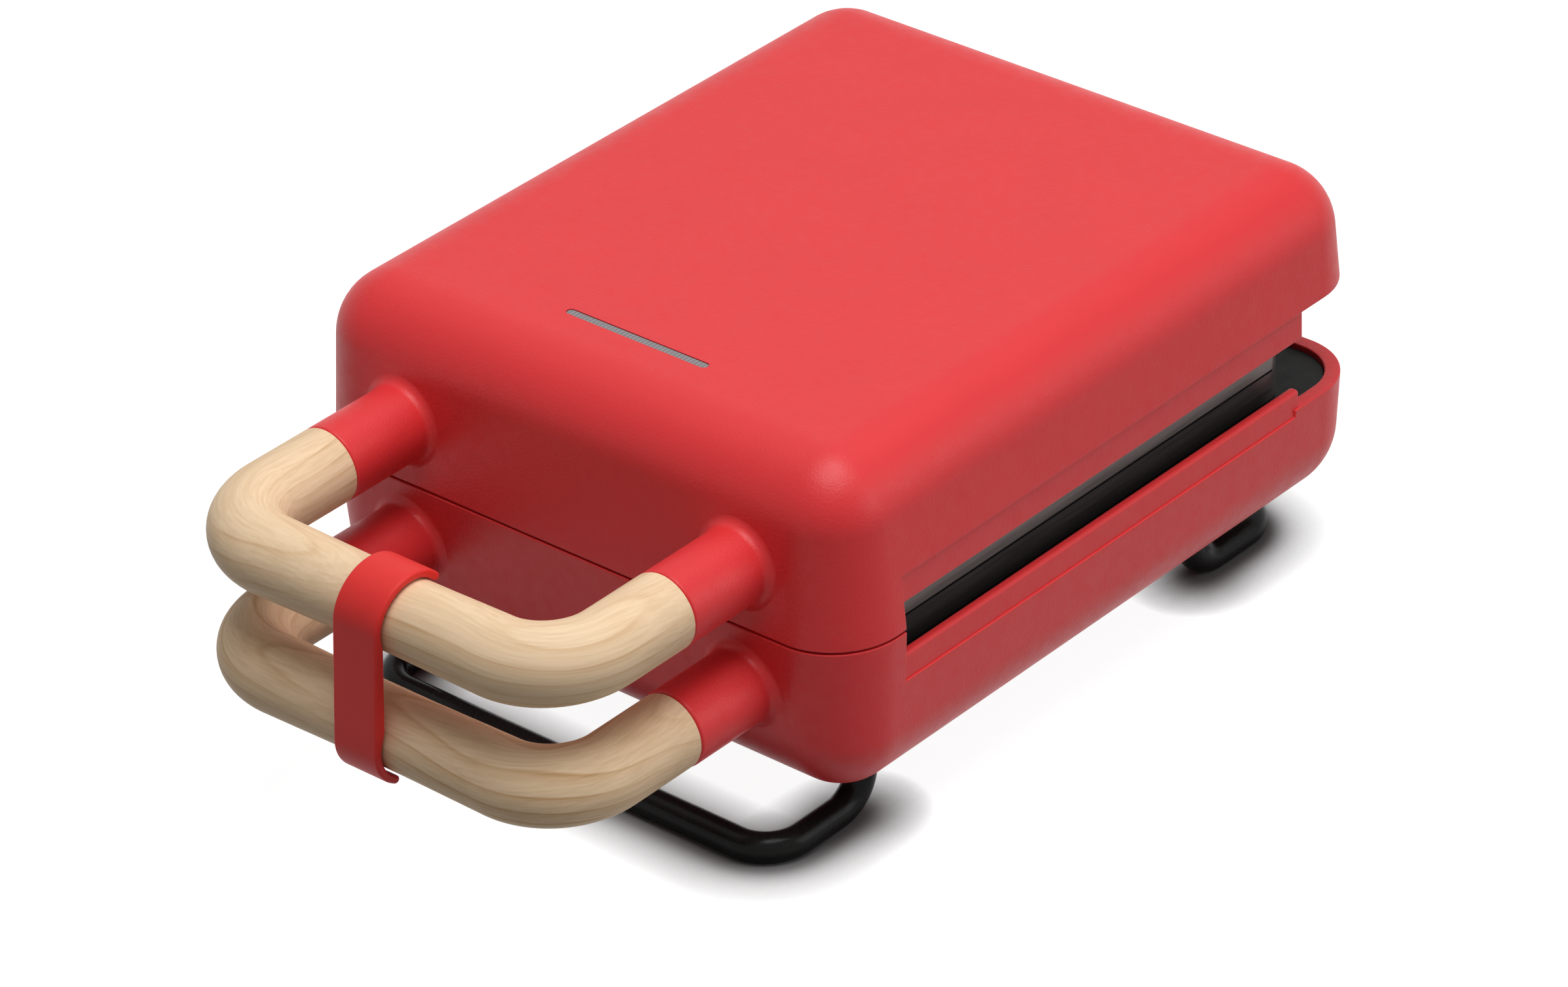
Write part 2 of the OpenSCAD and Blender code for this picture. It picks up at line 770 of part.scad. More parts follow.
// Ring sector between two angles less than 180 degrees apart
module sector(r_in, r_out, a0, a1) {
    mid = (a0 + a1) / 2;
    far = 2 * r_out;
    difference() {
        circle(r_out);
        circle(r_in);
        rotate(a1) translate([-far, 0]) square([2 * far, far]);
        rotate(a0) translate([-far, -far]) square([2 * far, far]);
    }
}

// Flexible clip: hooks over the lid's crossbar and under the base's crossbar
module latch_clip() {
    hook_tip = 42;
    lip_tip = 243;
    bulge = 7.1;
    inner_r = grip_r + fit;
    lower_r = grip_r + lip_play;
    at_seam() color("red") translate([clip_x - clip_w / 2, -grip_reach, grip_z]) rotate([90, 0, 90]) linear_extrude(clip_w) {
        sector(inner_r, hook_r, hook_tip, 180);
        difference() {
            translate([-hook_r, -grip_gap]) square([hook_r - bulge, grip_gap]);
            circle(inner_r);
            translate([0, -grip_gap]) circle(lower_r);
        }
        translate([0, -grip_gap]) sector(lower_r, hook_r, 180, lip_tip);
    }
}

base_shell();
base_frame();
lower_plate();
lower_heater();
lower_reflector();
lower_thermostat();
thermal_fuse();
terminal_block();
base_leads();
cord_gland();
front_leg();
rear_leg();
leg_clamps();
leg_nuts();
base_handle();
base_handle_screws();
lower_plate_screws();
hinge_bracket();
hinge_bracket_screws();
hinge_pin();
lid_shell();
lid_frame();
upper_plate();
upper_heater();
upper_reflector();
upper_thermostat();
indicator_lens();
indicator_board();
indicator_board_screws();
lid_handle();
lid_handle_screws();
hinge_arms();
hinge_arm_screws();
upper_plate_screws();
latch_clip();
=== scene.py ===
"""Looks of a countertop press for two fish-shaped cakes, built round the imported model.

Lengths are millimetres from the front wall of the body, at the seam between lid and base.
X is across, +Y is towards the hinge and Z is up.
Meshes are made in these units, and make_piece takes them to the frame, in metres.
"""

import json
import math

import bmesh
import bpy
import numpy as np
from mathutils import Matrix, Vector


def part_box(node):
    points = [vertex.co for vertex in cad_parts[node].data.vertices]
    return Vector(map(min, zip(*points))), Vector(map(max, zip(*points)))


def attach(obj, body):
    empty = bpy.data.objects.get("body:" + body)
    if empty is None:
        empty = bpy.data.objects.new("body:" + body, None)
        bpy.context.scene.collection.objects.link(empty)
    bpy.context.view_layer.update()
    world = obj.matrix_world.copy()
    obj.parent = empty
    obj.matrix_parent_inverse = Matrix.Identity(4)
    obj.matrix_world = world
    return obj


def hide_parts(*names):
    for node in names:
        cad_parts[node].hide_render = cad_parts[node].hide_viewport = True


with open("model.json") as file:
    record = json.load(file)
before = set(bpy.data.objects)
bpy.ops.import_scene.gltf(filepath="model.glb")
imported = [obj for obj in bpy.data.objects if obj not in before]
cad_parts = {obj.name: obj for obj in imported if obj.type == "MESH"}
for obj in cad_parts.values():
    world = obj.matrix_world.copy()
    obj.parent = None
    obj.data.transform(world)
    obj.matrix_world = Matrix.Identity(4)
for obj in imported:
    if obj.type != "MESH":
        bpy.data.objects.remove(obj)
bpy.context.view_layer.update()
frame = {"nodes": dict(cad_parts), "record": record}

MM = 0.001

# Body
BODY_W, BODY_L = 140.0, 164.2
CORNER_R, CORNER_BLEND = 15.0, 1.5
WALL = 2.6
SEAM_HALF = 0.25
LID_H, LID_DRAFT, LID_EDGE_R = 36.65, math.radians(4.2), 14.0
BASE_H, BASE_DRAFT, BASE_EDGE_R = 37.2, math.radians(3.7), 16.0
GAP_START, GAP_TOP, GAP_BOTTOM = 18.0, 11.5, 11.5
RIM_START, RIM_SLOPE, RIM_TOP, RIM_LOW, RIM_T = 139.0, 1.5, 9.9, 13.9, 3.2
EDGE_BEVEL = 0.3
SKIRT_X, SKIRT_Z, SKIRT_END, SKIRT_ROUND = (66.2, 68.6), (5.0, 13.2), 142.4, 0.55
LIP_X, LIP_Z, LIP_END, LIP_ROUND = (66.5, 68.85), (-15.5, -6.0), 141.0, 0.9
GLAND_Z, GLAND_SEAT_R, GLAND_SEAT_Y = -19.5, 5.45, (150, 170)

# Handles
GRIP_X, GRIP_Z = 43.2, 13.25
SOCKET_R, SOCKET_END, SOCKET_BORE_R, SOCKET_FLARE = 8.0, -19.5, 5.55, 2.0
SOCKET_WEB, SCREW_SEAT, SCREW_R = -3.9, 4.2, 2.05
SOCKET_SINK, SOCKET_ROUND, SOCKET_CHAMFER, SOCKET_STEPS = 0.03, 0.6, 0.35, 64
SCREW_WAY_R, SCREW_WAY_Y = 3.0, (-3.0, 6.0)
TENON_R, TENON_END, TENON_CHAMFER = 5.5, -4.0, 0.5
LID_GRIP_R, LID_BAR_Y = 8.0, -49.75
BASE_GRIP_R, BASE_BAR_Y = 7.85, -50.3
GRIP_BEND_R = 14.3
GRIP_BEND_Y = -35.7  # centre of the bends, about the same on both grips
GRIP_BEND_STEPS = 20
ARM_Y = -26.0
BAR_X, BAR_THINNING = (22, 14, 7), (0.1, 0.22, 0.3)
SHOULDER = ((0.0, 0.45), (0.15, 0.13), (0.5, 0.0))  # distance from the socket, how much thinner the grip is

# Legs
FLOOR_Z = -50.2
ROD_R, ROD_FLAT, ROD_CHAMFER = 3.15, 0.4, 0.4
LEG_X, LEG_RISE_R, LEG_BEND_R = 52.0, 8.0, 8.5
LEG_UPRIGHTS, LEG_BARS = (23.9, 126.2), (-2.9, 153.0)
UPRIGHT_TOP = -27.5
LEG_BOSS_R, LEG_BOSS_Z, LEG_BOSS_GAP = 6.0, (-35.5, -33.0), 0.05
LEG_HOLE_TOP, LEG_HOLE_GAP = -30.0, 0.1

# Plates
PLATE_W, PLATE_FRONT, PLATE_REAR, PLATE_T = 124.0, 8.0, 146.0, 11.0
PLATE_CORNER_R, PLATE_ROUND, PLATE_HALF_GAP, PLATE_CELL = 6.0, 0.9, 0.1, 0.6
CHANNEL_IN, CHANNEL_W, CHANNEL_D = 4.0, 0.9, 0.5
GROOVE_D, GROOVE_Z, GROOVE_IN = 0.7, (3.7, 4.2), 5
MOULD_X, MOULD_Y, MOULD_D, MOULD_SIDE = 29.0, 65.0, 8.0, 4.6
POST_X, POST_YS, POST_R = 57.0, (13.0, 141.0), 4.0
LID_POST_Z, BASE_POST_Z = (13.5, 33.25), (-33.8, -13.5)
SCREW_HEAD_R, SCREW_HEAD_D = 3.8, 2.6

# Lamp window
LENS_Y, LENS_L, LENS_W, LENS_GAP, LENS_SUNK = 23.1, 36.0, 2.0, 0.05, 0.12
FLANGE_X, FLANGE_Y, FLANGE_T = 20.0, 3.0, 1.2
LAMP_POST_X, LAMP_POST_R, LAMP_POST_BORE_R, LAMP_POST_Z = 25.0, 3.0, 1.25, (29.6, 34.6)

SEAM_Z = (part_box("lower_plate")[1].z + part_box("upper_plate")[0].z) / 2
FRONT_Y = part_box("lower_plate")[0].y - PLATE_FRONT * MM
TO_FRAME = Matrix.Translation((0, FRONT_Y, SEAM_Z)) @ Matrix.Scale(MM, 4)


# Camera

IMAGE_W = 2408
FOCAL_PX = 10381.3
SENSOR_W = 36.0
CAMERA_AZIMUTH, CAMERA_ELEVATION, CAMERA_ROLL = (math.radians(a) for a in (42.133, 31.318, -2.676))
CAMERA_DISTANCE = 1327.47
CAMERA_TARGET = Vector((8.125, 53.777, -10.075))


def make_camera():
    """Camera at the photograph's viewing angle."""
    a, e, roll = CAMERA_AZIMUTH, CAMERA_ELEVATION, CAMERA_ROLL
    back = Vector((math.sin(a) * math.cos(e), -math.cos(a) * math.cos(e), math.sin(e)))
    right = Vector((0, 0, 1)).cross(back).normalized()
    up = back.cross(right)
    right, up = right * math.cos(roll) + up * math.sin(roll), up * math.cos(roll) - right * math.sin(roll)
    data = bpy.data.cameras.new("camera")
    data.sensor_width = SENSOR_W
    data.lens = FOCAL_PX * SENSOR_W / IMAGE_W
    data.clip_start, data.clip_end = 0.05, 20
    camera = bpy.data.objects.new("camera", data)
    bpy.context.scene.collection.objects.link(camera)
    place = TO_FRAME @ (CAMERA_TARGET + back * CAMERA_DISTANCE)
    turn = Matrix((right, up, back)).transposed().to_4x4()
    camera.matrix_world = Matrix.Translation(place) @ turn
    bpy.context.scene.camera = camera


# Node helpers

def new_material(name):
    """New material, with its node tree and its principled shader."""
    mat = bpy.data.materials.new(name)
    mat.use_nodes = True
    tree = mat.node_tree
    shader = next(n for n in tree.nodes if n.type == "BSDF_PRINCIPLED")
    return mat, tree, shader


def add(tree, kind, inputs=(), **settings):
    """Adds a node; inputs maps a socket's name or number to a value or to another socket."""
    node = tree.nodes.new(kind)
    for key, value in settings.items():
        setattr(node, key, value)
    for key, value in dict(inputs).items():
        if isinstance(value, bpy.types.NodeSocket):
            tree.links.new(value, node.inputs[key])
        else:
            node.inputs[key].default_value = value
    return node


def scaled(tree, vector, scale):
    """Coordinates multiplied by a factor for each axis."""
    return add(tree, "ShaderNodeMapping", {"Vector": vector, "Scale": scale}).outputs["Vector"]


def millimetres(tree, stretch=(1, 1, 1)):
    """Object coordinates in millimetres, stretched."""
    coords = add(tree, "ShaderNodeTexCoord").outputs["Object"]
    return scaled(tree, coords, tuple(s / MM for s in stretch))


def noise(tree, vector, scale, detail=2.0, roughness=0.5):
    return add(tree, "ShaderNodeTexNoise", {
        "Vector": vector, "Scale": scale, "Detail": detail, "Roughness": roughness}).outputs["Fac"]


def ramp(tree, factor, *stops):
    """Colour ramp; each stop is (position, colour) with a grey number or an RGB triple."""
    node = add(tree, "ShaderNodeValToRGB", {"Fac": factor})
    elements = node.color_ramp.elements
    while len(elements) < len(stops):
        elements.new(0.5)
    for element, (position, colour) in zip(elements, stops):
        rgb = (colour,) * 3 if isinstance(colour, (int, float)) else colour
        element.position = position
        element.color = (*rgb, 1)
    return node.outputs["Color"]


def mix(tree, factor, a, b, blend="MIX"):
    node = add(tree, "ShaderNodeMix", data_type="RGBA", blend_type=blend)
    for key, value in (("Factor", factor), ("A", a), ("B", b)):
        socket = next(s for s in node.inputs if s.name == key and s.enabled)
        if isinstance(value, bpy.types.NodeSocket):
            tree.links.new(value, socket)
        elif key == "Factor":
            socket.default_value = value
        else:
            socket.default_value = (*value, 1)
    return next(s for s in node.outputs if s.enabled)


def math_node(tree, operation, a, b=0.0):
    return add(tree, "ShaderNodeMath", {0: a, 1: b}, operation=operation).outputs[0]


def vector_math(tree, operation, a, b=(0, 0, 0)):
    node = add(tree, "ShaderNodeVectorMath", {0: a, 1: b}, operation=operation)
    return node.outputs["Value" if operation == "LENGTH" else "Vector"]


def bump(tree, shader, height, distance):
    """Bump of a real depth in millimetres."""
    node = add(tree, "ShaderNodeBump", {"Height": height, "Distance": distance * MM, "Strength": 1.0})
    tree.links.new(node.outputs["Normal"], shader.inputs["Normal"])


def set_shader(shader, **values):
    """Sets sockets by name, with underscores for the blanks in the names."""
    for name, value in values.items():
        shader.inputs[name.replace("_", " ")].default_value = value


# Materials

def grained_plastic(name, colour, roughness, grain_depth, worn=0.03, shine=0.36):
    """Moulded plastic with a fine grain."""
    mat, tree, shader = new_material(name)
    vector = millimetres(tree)
    patch = noise(tree, vector, 0.06, 3)
    tone = ramp(tree, patch, (0.3, tuple(c * (1 - worn) for c in colour)), (0.7, colour))
    tree.links.new(tone, shader.inputs["Base Color"])
    grain = noise(tree, vector, 1.9, 1.5, 0.55)
    bump(tree, shader, grain, grain_depth)
    set_shader(shader, Specular_IOR_Level=shine)
    rough = ramp(tree, noise(tree, vector, 0.4, 2), (0.25, roughness - 0.04), (0.75, roughness + 0.05))
    tree.links.new(rough, shader.inputs["Roughness"])
    return mat


def silicone(name, colour):
    """Smooth matt silicone."""
    mat, tree, shader = new_material(name)
    vector = millimetres(tree)
    tone = ramp(tree, noise(tree, vector, 0.15, 2), (0.3, tuple(c * 0.97 for c in colour)), (0.7, colour))
    tree.links.new(tone, shader.inputs["Base Color"])
    bump(tree, shader, noise(tree, vector, 3.0, 2), 0.008)
    set_shader(shader, Roughness=0.5, Specular_IOR_Level=0.25,
               Subsurface_Weight=0.4, Subsurface_Scale=4 * MM, Subsurface_Radius=(1.0, 0.2, 0.15))
    return mat


def along_handle(tree):
    """Coordinates in millimetres that follow a handle's bends: along it, outwards and up."""
    x, y, z = add(tree, "ShaderNodeSeparateXYZ", {0: millimetres(tree)}).outputs
    straight, bend_y = GRIP_X - GRIP_BEND_R, FRONT_Y / MM + GRIP_BEND_Y
    size = math_node(tree, "ABSOLUTE", x)
    over_x = math_node(tree, "MAXIMUM", math_node(tree, "SUBTRACT", size, straight), 0.0)
    over_y = math_node(tree, "MAXIMUM", math_node(tree, "SUBTRACT", bend_y, y), 0.0)
    corner = add(tree, "ShaderNodeCombineXYZ", {0: over_x, 1: over_y}).outputs[0]
    outwards = vector_math(tree, "LENGTH", corner)
    turned = math_node(tree, "MULTIPLY", math_node(tree, "ARCTAN2", over_x, over_y), GRIP_BEND_R)
    behind = math_node(tree, "MAXIMUM", math_node(tree, "SUBTRACT", y, bend_y), 0.0)
    past_bar = math_node(tree, "ADD", turned, behind)
    along = math_node(tree, "ADD", math_node(tree, "MINIMUM", size, straight), past_bar)
    along = math_node(tree, "MULTIPLY", along, math_node(tree, "SIGN", x))
    return add(tree, "ShaderNodeCombineXYZ", {0: along, 1: outwards, 2: z}).outputs[0]


RING_SPACING, RING_DRIFT = 2.9, 14.0
WOOD_PALE, WOOD_LINE = (0.91, 0.69, 0.465), (0.6, 0.34, 0.14)


def wood(name, shift, turn, contrast):
    """Pale bent wood, with growth rings round an axis outside the handle."""
    mat, tree, shader = new_material(name)
    place = add(tree, "ShaderNodeMapping", {
        "Vector": along_handle(tree), "Location": shift, "Rotation": turn}).outputs["Vector"]
    sway = scaled(tree, place, (0.014, 0.026, 0.026))
    drift = add(tree, "ShaderNodeTexNoise", {"Vector": sway, "Scale": 1.0, "Detail": 2.0, "Roughness": 0.4})
    offset = vector_math(tree, "SUBTRACT", drift.outputs["Color"], (0.5, 0.5, 0.5))
    pushed = vector_math(tree, "MULTIPLY", offset, (0.0, RING_DRIFT, RING_DRIFT))
    moved = vector_math(tree, "ADD", place, pushed)
    radius = vector_math(tree, "LENGTH", vector_math(tree, "MULTIPLY", moved, (0, 1, 1)))
    rings = math_node(tree, "FRACT", math_node(tree, "DIVIDE", radius, RING_SPACING))
    late = ramp(tree, rings, (0.0, 0.0), (0.5, 0.1), (0.82, 0.5), (0.92, 1.0), (0.98, 0.3), (1.0, 0.0))
    strength = ramp(tree, noise(tree, sway, 2.3, 2), (0.36, 0.15 * contrast), (0.66, contrast))
    late = mix(tree, 1.0, late, strength, "MULTIPLY")
    tone = mix(tree, late, WOOD_PALE, WOOD_LINE)
    fibre = noise(tree, scaled(tree, moved, (0.035, 1.0, 1.0)), 1.6, 4, 0.6)
    streak = ramp(tree, fibre, (0.35, (0.87, 0.83, 0.77)), (0.6, (1.0, 1.0, 1.0)))
    tone = mix(tree, 0.8, tone, streak, "MULTIPLY")
    broad = ramp(tree, noise(tree, sway, 0.9, 1), (0.3, (0.95, 0.92, 0.88)), (0.7, (1.0, 1.0, 1.0)))
    tone = mix(tree, 1.0, tone, broad, "MULTIPLY")
    pore_at = scaled(tree, moved, (0.12, 1.0, 1.0))
    pores = add(tree, "ShaderNodeTexVoronoi", {"Vector": pore_at, "Scale": 0.9}).outputs["Distance"]
    dark = ramp(tree, pores, (0.0, (0.66, 0.54, 0.42)), (0.075, (1.0, 1.0, 1.0)))
    tone = mix(tree, 0.55, tone, dark, "MULTIPLY")
    tree.links.new(tone, shader.inputs["Base Color"])
    height = math_node(tree, "ADD", fibre, math_node(tree, "MULTIPLY", late, -0.4))
    bump(tree, shader, height, 0.015)
    set_shader(shader, Roughness=0.5, Specular_IOR_Level=0.14)
    return mat


def coated_metal(name, colour, roughness, metallic=0.0, depth=0.006, scale=2.5, stretch=(1, 1, 1), shine=0.5):
    """Painted, plated or coated metal; stretch below 1 along an axis gives brushed streaks along it."""
    mat, tree, shader = new_material(name)
    vector = millimetres(tree, stretch)
    streaks = noise(tree, vector, scale, 3, 0.6)
    tone = ramp(tree, streaks, (0.3, tuple(c * 0.8 for c in colour)), (0.7, tuple(c * 1.15 for c in colour)))
    tree.links.new(tone, shader.inputs["Base Color"])
    rough = ramp(tree, streaks, (0.3, max(roughness - 0.06, 0.03)), (0.7, roughness + 0.06))
    tree.links.new(rough, shader.inputs["Roughness"])
    bump(tree, shader, streaks, depth)
    set_shader(shader, Metallic=metallic, Specular_IOR_Level=shine)
    return mat


def speckled(name, colour, fleck, roughness):
    """Non-stick coat or board with small flecks."""
    mat, tree, shader = new_material(name)
    vector = millimetres(tree)
    cells = add(tree, "ShaderNodeTexVoronoi", {"Vector": vector, "Scale": 1.1}).outputs["Distance"]
    tone = ramp(tree, cells, (0.0, fleck), (0.14, colour))
    tree.links.new(tone, shader.inputs["Base Color"])
    bump(tree, shader, noise(tree, vector, 2.2, 3), 0.02)
    set_shader(shader, Roughness=roughness)
    return mat


def lamp_window(name):
    """Grey translucent window with a faint ribbing across it."""
    mat, tree, shader = new_material(name)
    vector = millimetres(tree)
    wave = add(tree, "ShaderNodeTexWave", {"Vector": vector, "Scale": 0.35}, bands_direction="X")
    ribs = wave.outputs["Fac"]
    tone = ramp(tree, ribs, (0.0, (0.13, 0.12, 0.125)), (1.0, (0.24, 0.22, 0.23)))
    tree.links.new(tone, shader.inputs["Base Color"])
    bump(tree, shader, ribs, 0.03)
    set_shader(shader, Roughness=0.32, Coat_Weight=0.3, Coat_Roughness=0.15)
    return mat


RED = (0.73, 0.032, 0.036)
MACHINED = {"metallic": 0.2, "depth": 0.02, "scale": 1.6, "stretch": (1, 0.03, 1)}
MATERIALS = {
    "red_plastic": grained_plastic("red grained plastic", RED, 0.44, grain_depth=0.06),
    "red_silicone": silicone("red silicone", (0.76, 0.034, 0.03)),
    "pale_wood": wood("pale wood of the lid", (12.0, 34.0, 61.0), (0.1, 0.03, -0.09), contrast=0.62),
    "base_wood": wood("pale wood of the base", (-31.0, 27.0, 78.0), (-0.15, -0.04, 0.12), contrast=0.85),
    "black_rod": coated_metal("black powder coat", (0.011, 0.0105, 0.01), 0.24, scale=1.2, shine=0.09),
    "black_plastic": grained_plastic("black plastic", (0.014, 0.013, 0.012), 0.5, 0.03, worn=0.2, shine=0.12),
    "black_casting": coated_metal("black casting", (0.022, 0.022, 0.023), 0.42, depth=0.03, scale=1.5),
    "coated_plate": speckled("non-stick coat", (0.016, 0.016, 0.017), (0.05, 0.05, 0.052), 0.36),
    # plate_edge is plate_side made lighter: a painted highlight on the band of the plates' sides next to the
    # seam.
    "plate_edge": coated_metal("plate side with painted highlight", (0.17, 0.16, 0.15), 0.4, **MACHINED),
    "plate_side": coated_metal("machined plate side", (0.07, 0.066, 0.064), 0.34, **MACHINED),
    "heater_steel": coated_metal("oxidised steel", (0.16, 0.14, 0.13), 0.45, metallic=0.8),
    "sheet_steel": coated_metal("sheet steel", (0.56, 0.56, 0.57), 0.35, metallic=1.0, depth=0.004, scale=1.2,
                                stretch=(0.05, 1, 1)),
    "screw_steel": coated_metal("zinc-plated steel", (0.48, 0.48, 0.5), 0.3, metallic=1.0, depth=0.003,
                                scale=3.0),
    "tan_plastic": grained_plastic("phenolic", (0.42, 0.3, 0.18), 0.5, grain_depth=0.02),
    "white_plastic": grained_plastic("white insulation", (0.74, 0.73, 0.69), 0.5, grain_depth=0.01),
    "lamp_window": lamp_window("grey window"),
    "green_board": speckled("circuit board", (0.02, 0.16, 0.06), (0.03, 0.22, 0.09), 0.35),
}


# Mesh helpers

SHARP_ANGLE = 34.0


def make_piece(name, bm, body, look, nodes=()):
    """Makes a piece from a bmesh in millimetres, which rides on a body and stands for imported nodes.

    look is the key of a material, or the keys of several that the faces' material numbers choose from.
    """
    bmesh.ops.recalc_face_normals(bm, faces=bm.faces[:])
    bmesh.ops.transform(bm, matrix=TO_FRAME, verts=bm.verts[:])
    mesh = bpy.data.meshes.new(name)
    bm.to_mesh(mesh)
    bm.free()
    mesh.shade_smooth()
    mesh.set_sharp_from_angle(angle=math.radians(SHARP_ANGLE))
    obj = bpy.data.objects.new(name, mesh)
    bpy.context.scene.collection.objects.link(obj)
    normals = obj.modifiers.new("normals", "WEIGHTED_NORMAL")
    normals.keep_sharp = True
    looks = (look,) if isinstance(look, str) else look
    for key in looks:
        mesh.materials.append(MATERIALS[key])
    apply_modifiers(obj)
    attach(obj, body)
    if nodes:
        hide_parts(*nodes)


def apply_modifiers(obj):
    """Leaves the modified mesh as the object's own mesh."""
    graph = bpy.context.evaluated_depsgraph_get()
    mesh = bpy.data.meshes.new_from_object(obj.evaluated_get(graph))
    old = obj.data
    obj.modifiers.clear()
    obj.data = mesh
    mesh.name = old.name
    bpy.data.meshes.remove(old)


def add_grid(bm, rows, close_rows=False, close_columns=True):
    """Quads between rows of vertices; close_columns joins each row's last vertex to its first."""
    following = rows[1:] + rows[:1] if close_rows else rows[1:]
    for low, high in zip(rows, following):
        count = len(low)
        for j in range(count if close_columns else count - 1):
            k = (j + 1) % count
            bm.faces.new((low[j], low[k], high[k], high[j]))


def add_points(bm, points):
    return [bm.verts.new(p) for p in points]


def arc_points(centre, radius, start, end, steps):
    """Points on an arc in a plane, with angles in degrees; both ends are included."""
    angles = [math.radians(start + (end - start) * k / steps) for k in range(steps + 1)]
    return [(centre[0] + radius * math.cos(a), centre[1] + radius * math.sin(a)) for a in angles]


def round_edges(bm, edges, offset, segments=2):
    """Rounds edges of a closed bmesh."""
    bmesh.ops.recalc_face_normals(bm, faces=bm.faces[:])
    bmesh.ops.bevel(bm, geom=list(edges), offset=offset, segments=segments, profile=0.5,
                    affect="EDGES", clamp_overlap=False)


def slab(bm, outline, x0, x1, edge, segments=3):
    """Outline in Y and Z, pulled along X, with rounded edges on both sides."""
    left = add_points(bm, [(x0, y, z) for y, z in outline])
    right = add_points(bm, [(x1, y, z) for y, z in outline])
    add_grid(bm, [left, right])
    bm.faces.new(left)
    bm.faces.new(right)
    edges = [e for e in bm.edges if all(v in left for v in e.verts) or all(v in right for v in e.verts)]
    round_edges(bm, edges, edge, segments)


def boolean(bm, tool, operation):
    """Result of a boolean on two closed bmeshes, which are both freed."""
    pair = []
    for part in (bm, tool):
        bmesh.ops.recalc_face_normals(part, faces=part.faces[:])
        mesh = bpy.data.meshes.new("part")
        part.to_mesh(mesh)
        part.free()
        obj = bpy.data.objects.new("part", mesh)
        bpy.context.scene.collection.objects.link(obj)
        pair.append(obj)
    modifier = pair[0].modifiers.new("boolean", "BOOLEAN")
    modifier.operation = operation
    modifier.solver = "MANIFOLD"
    modifier.object = pair[1]
    apply_modifiers(pair[0])
    result = bmesh.new()
    result.from_mesh(pair[0].data)
    for obj in pair:
        mesh = obj.data
        bpy.data.objects.remove(obj)
        bpy.data.meshes.remove(mesh)
    bmesh.ops.triangulate(result, faces=[f for f in result.faces if len(f.verts) > 4])
    bmesh.ops.dissolve_degenerate(result, dist=1e-4, edges=result.edges[:])
    same = {}
    for face in result.faces:
        same.setdefault(frozenset(face.verts), []).append(face)
    folded = [face for faces in same.values() if len(faces) > 1 for face in faces]
    bmesh.ops.delete(result, geom=folded, context="FACES")
    return result


def rounded_box(bm, lo, hi, edge, segments=3):
    """Box between two corners with all its edges rounded."""
    size = [b - a for a, b in zip(lo, hi)]
    middle = [(a + b) / 2 for a, b in zip(lo, hi)]
    made = bmesh.ops.create_cube(bm, size=1, matrix=Matrix.Translation(middle) @ Matrix.Diagonal((*size, 1)))
    edges = list({e for v in made["verts"] for e in v.link_edges})
    round_edges(bm, edges, edge, segments)


def lathe(bm, profile, centre, axis, steps):
    """Closed profile of (radius, place along the axis) turned round an axis, which is "Y" or "Z"."""
    rings = []
    for k in range(steps):
        a = math.tau * k / steps
        c, s = math.cos(a), math.sin(a)
        turned = [(r * c, p, r * s) if axis == "Y" else (r * c, r * s, p) for r, p in profile]
        rings.append(add_points(bm, [Vector(centre) + Vector(p) for p in turned]))
    add_grid(bm, rings, close_rows=True)


def rod(bm, centre, axis, radius, start, end, steps=32):
    """Plain cylinder along Y or Z between two places on that axis."""
    turn = Matrix.Rotation(-math.pi / 2, 4, "X") if axis == "Y" else Matrix()
    middle = (start + end) / 2
    shift = Vector((0, middle, 0)) if axis == "Y" else Vector((0, 0, middle))
    place = Matrix.Translation(Vector(centre) + shift) @ turn
    bmesh.ops.create_cone(bm, cap_ends=True, segments=steps, radius1=radius, radius2=radius,
                          depth=abs(end - start), matrix=place)


# Shells

ARC_STEPS = 16
CORNER_STEPS = 24


def wall_inset(form, z, start=0.0):
    """How far a drafted wall with a rounded far edge is drawn in at a height.

    form is the height, the draft and the radius of the edge.
    """
    height, draft, radius = form
    middle = height - radius
    turn_in = middle + radius * math.sin(draft)
    if z <= turn_in:
        return start + z * math.tan(draft)
    inset = start + turn_in * math.tan(draft) + radius * math.cos(draft)
    return inset - math.sqrt(max(radius ** 2 - (z - middle) ** 2, 0))


def plan_columns():
    """Places of the columns along each long side, as fractions from the front corner to the rear one."""
    blended = CORNER_R + 0.15  # what CORNER_BLEND makes of the radius
    length = BODY_L - 2 * blended
    lines = [*np.linspace(GAP_START, RIM_START - RIM_SLOPE, 9), RIM_START]
    return [0.0, *((y - blended) / length for y in lines), 1.0]


def plan_loop(inset):
    """Body's plan, drawn in by inset: from the front right corner back along the right side and round."""
    u = CORNER_R - inset
    r = (u + math.sqrt(u * u + 4 * CORNER_BLEND ** 2)) / 2
    x, front, rear = BODY_W / 2 - inset, inset, BODY_L - inset
    sides = [(x, front + r + f * (rear - front - 2 * r)) for f in plan_columns()]
    rear_corner = arc_points((x - r, rear - r), r, 0, 90, CORNER_STEPS)[1:]
    front_corner = arc_points((x - r, front + r), r, -90, 0, CORNER_STEPS)[:-1]
    half = sides + rear_corner
    other = [(-a, b) for a, b in reversed(half)]
    return half + other + [(-a, b) for a, b in reversed(front_corner)] + front_corner


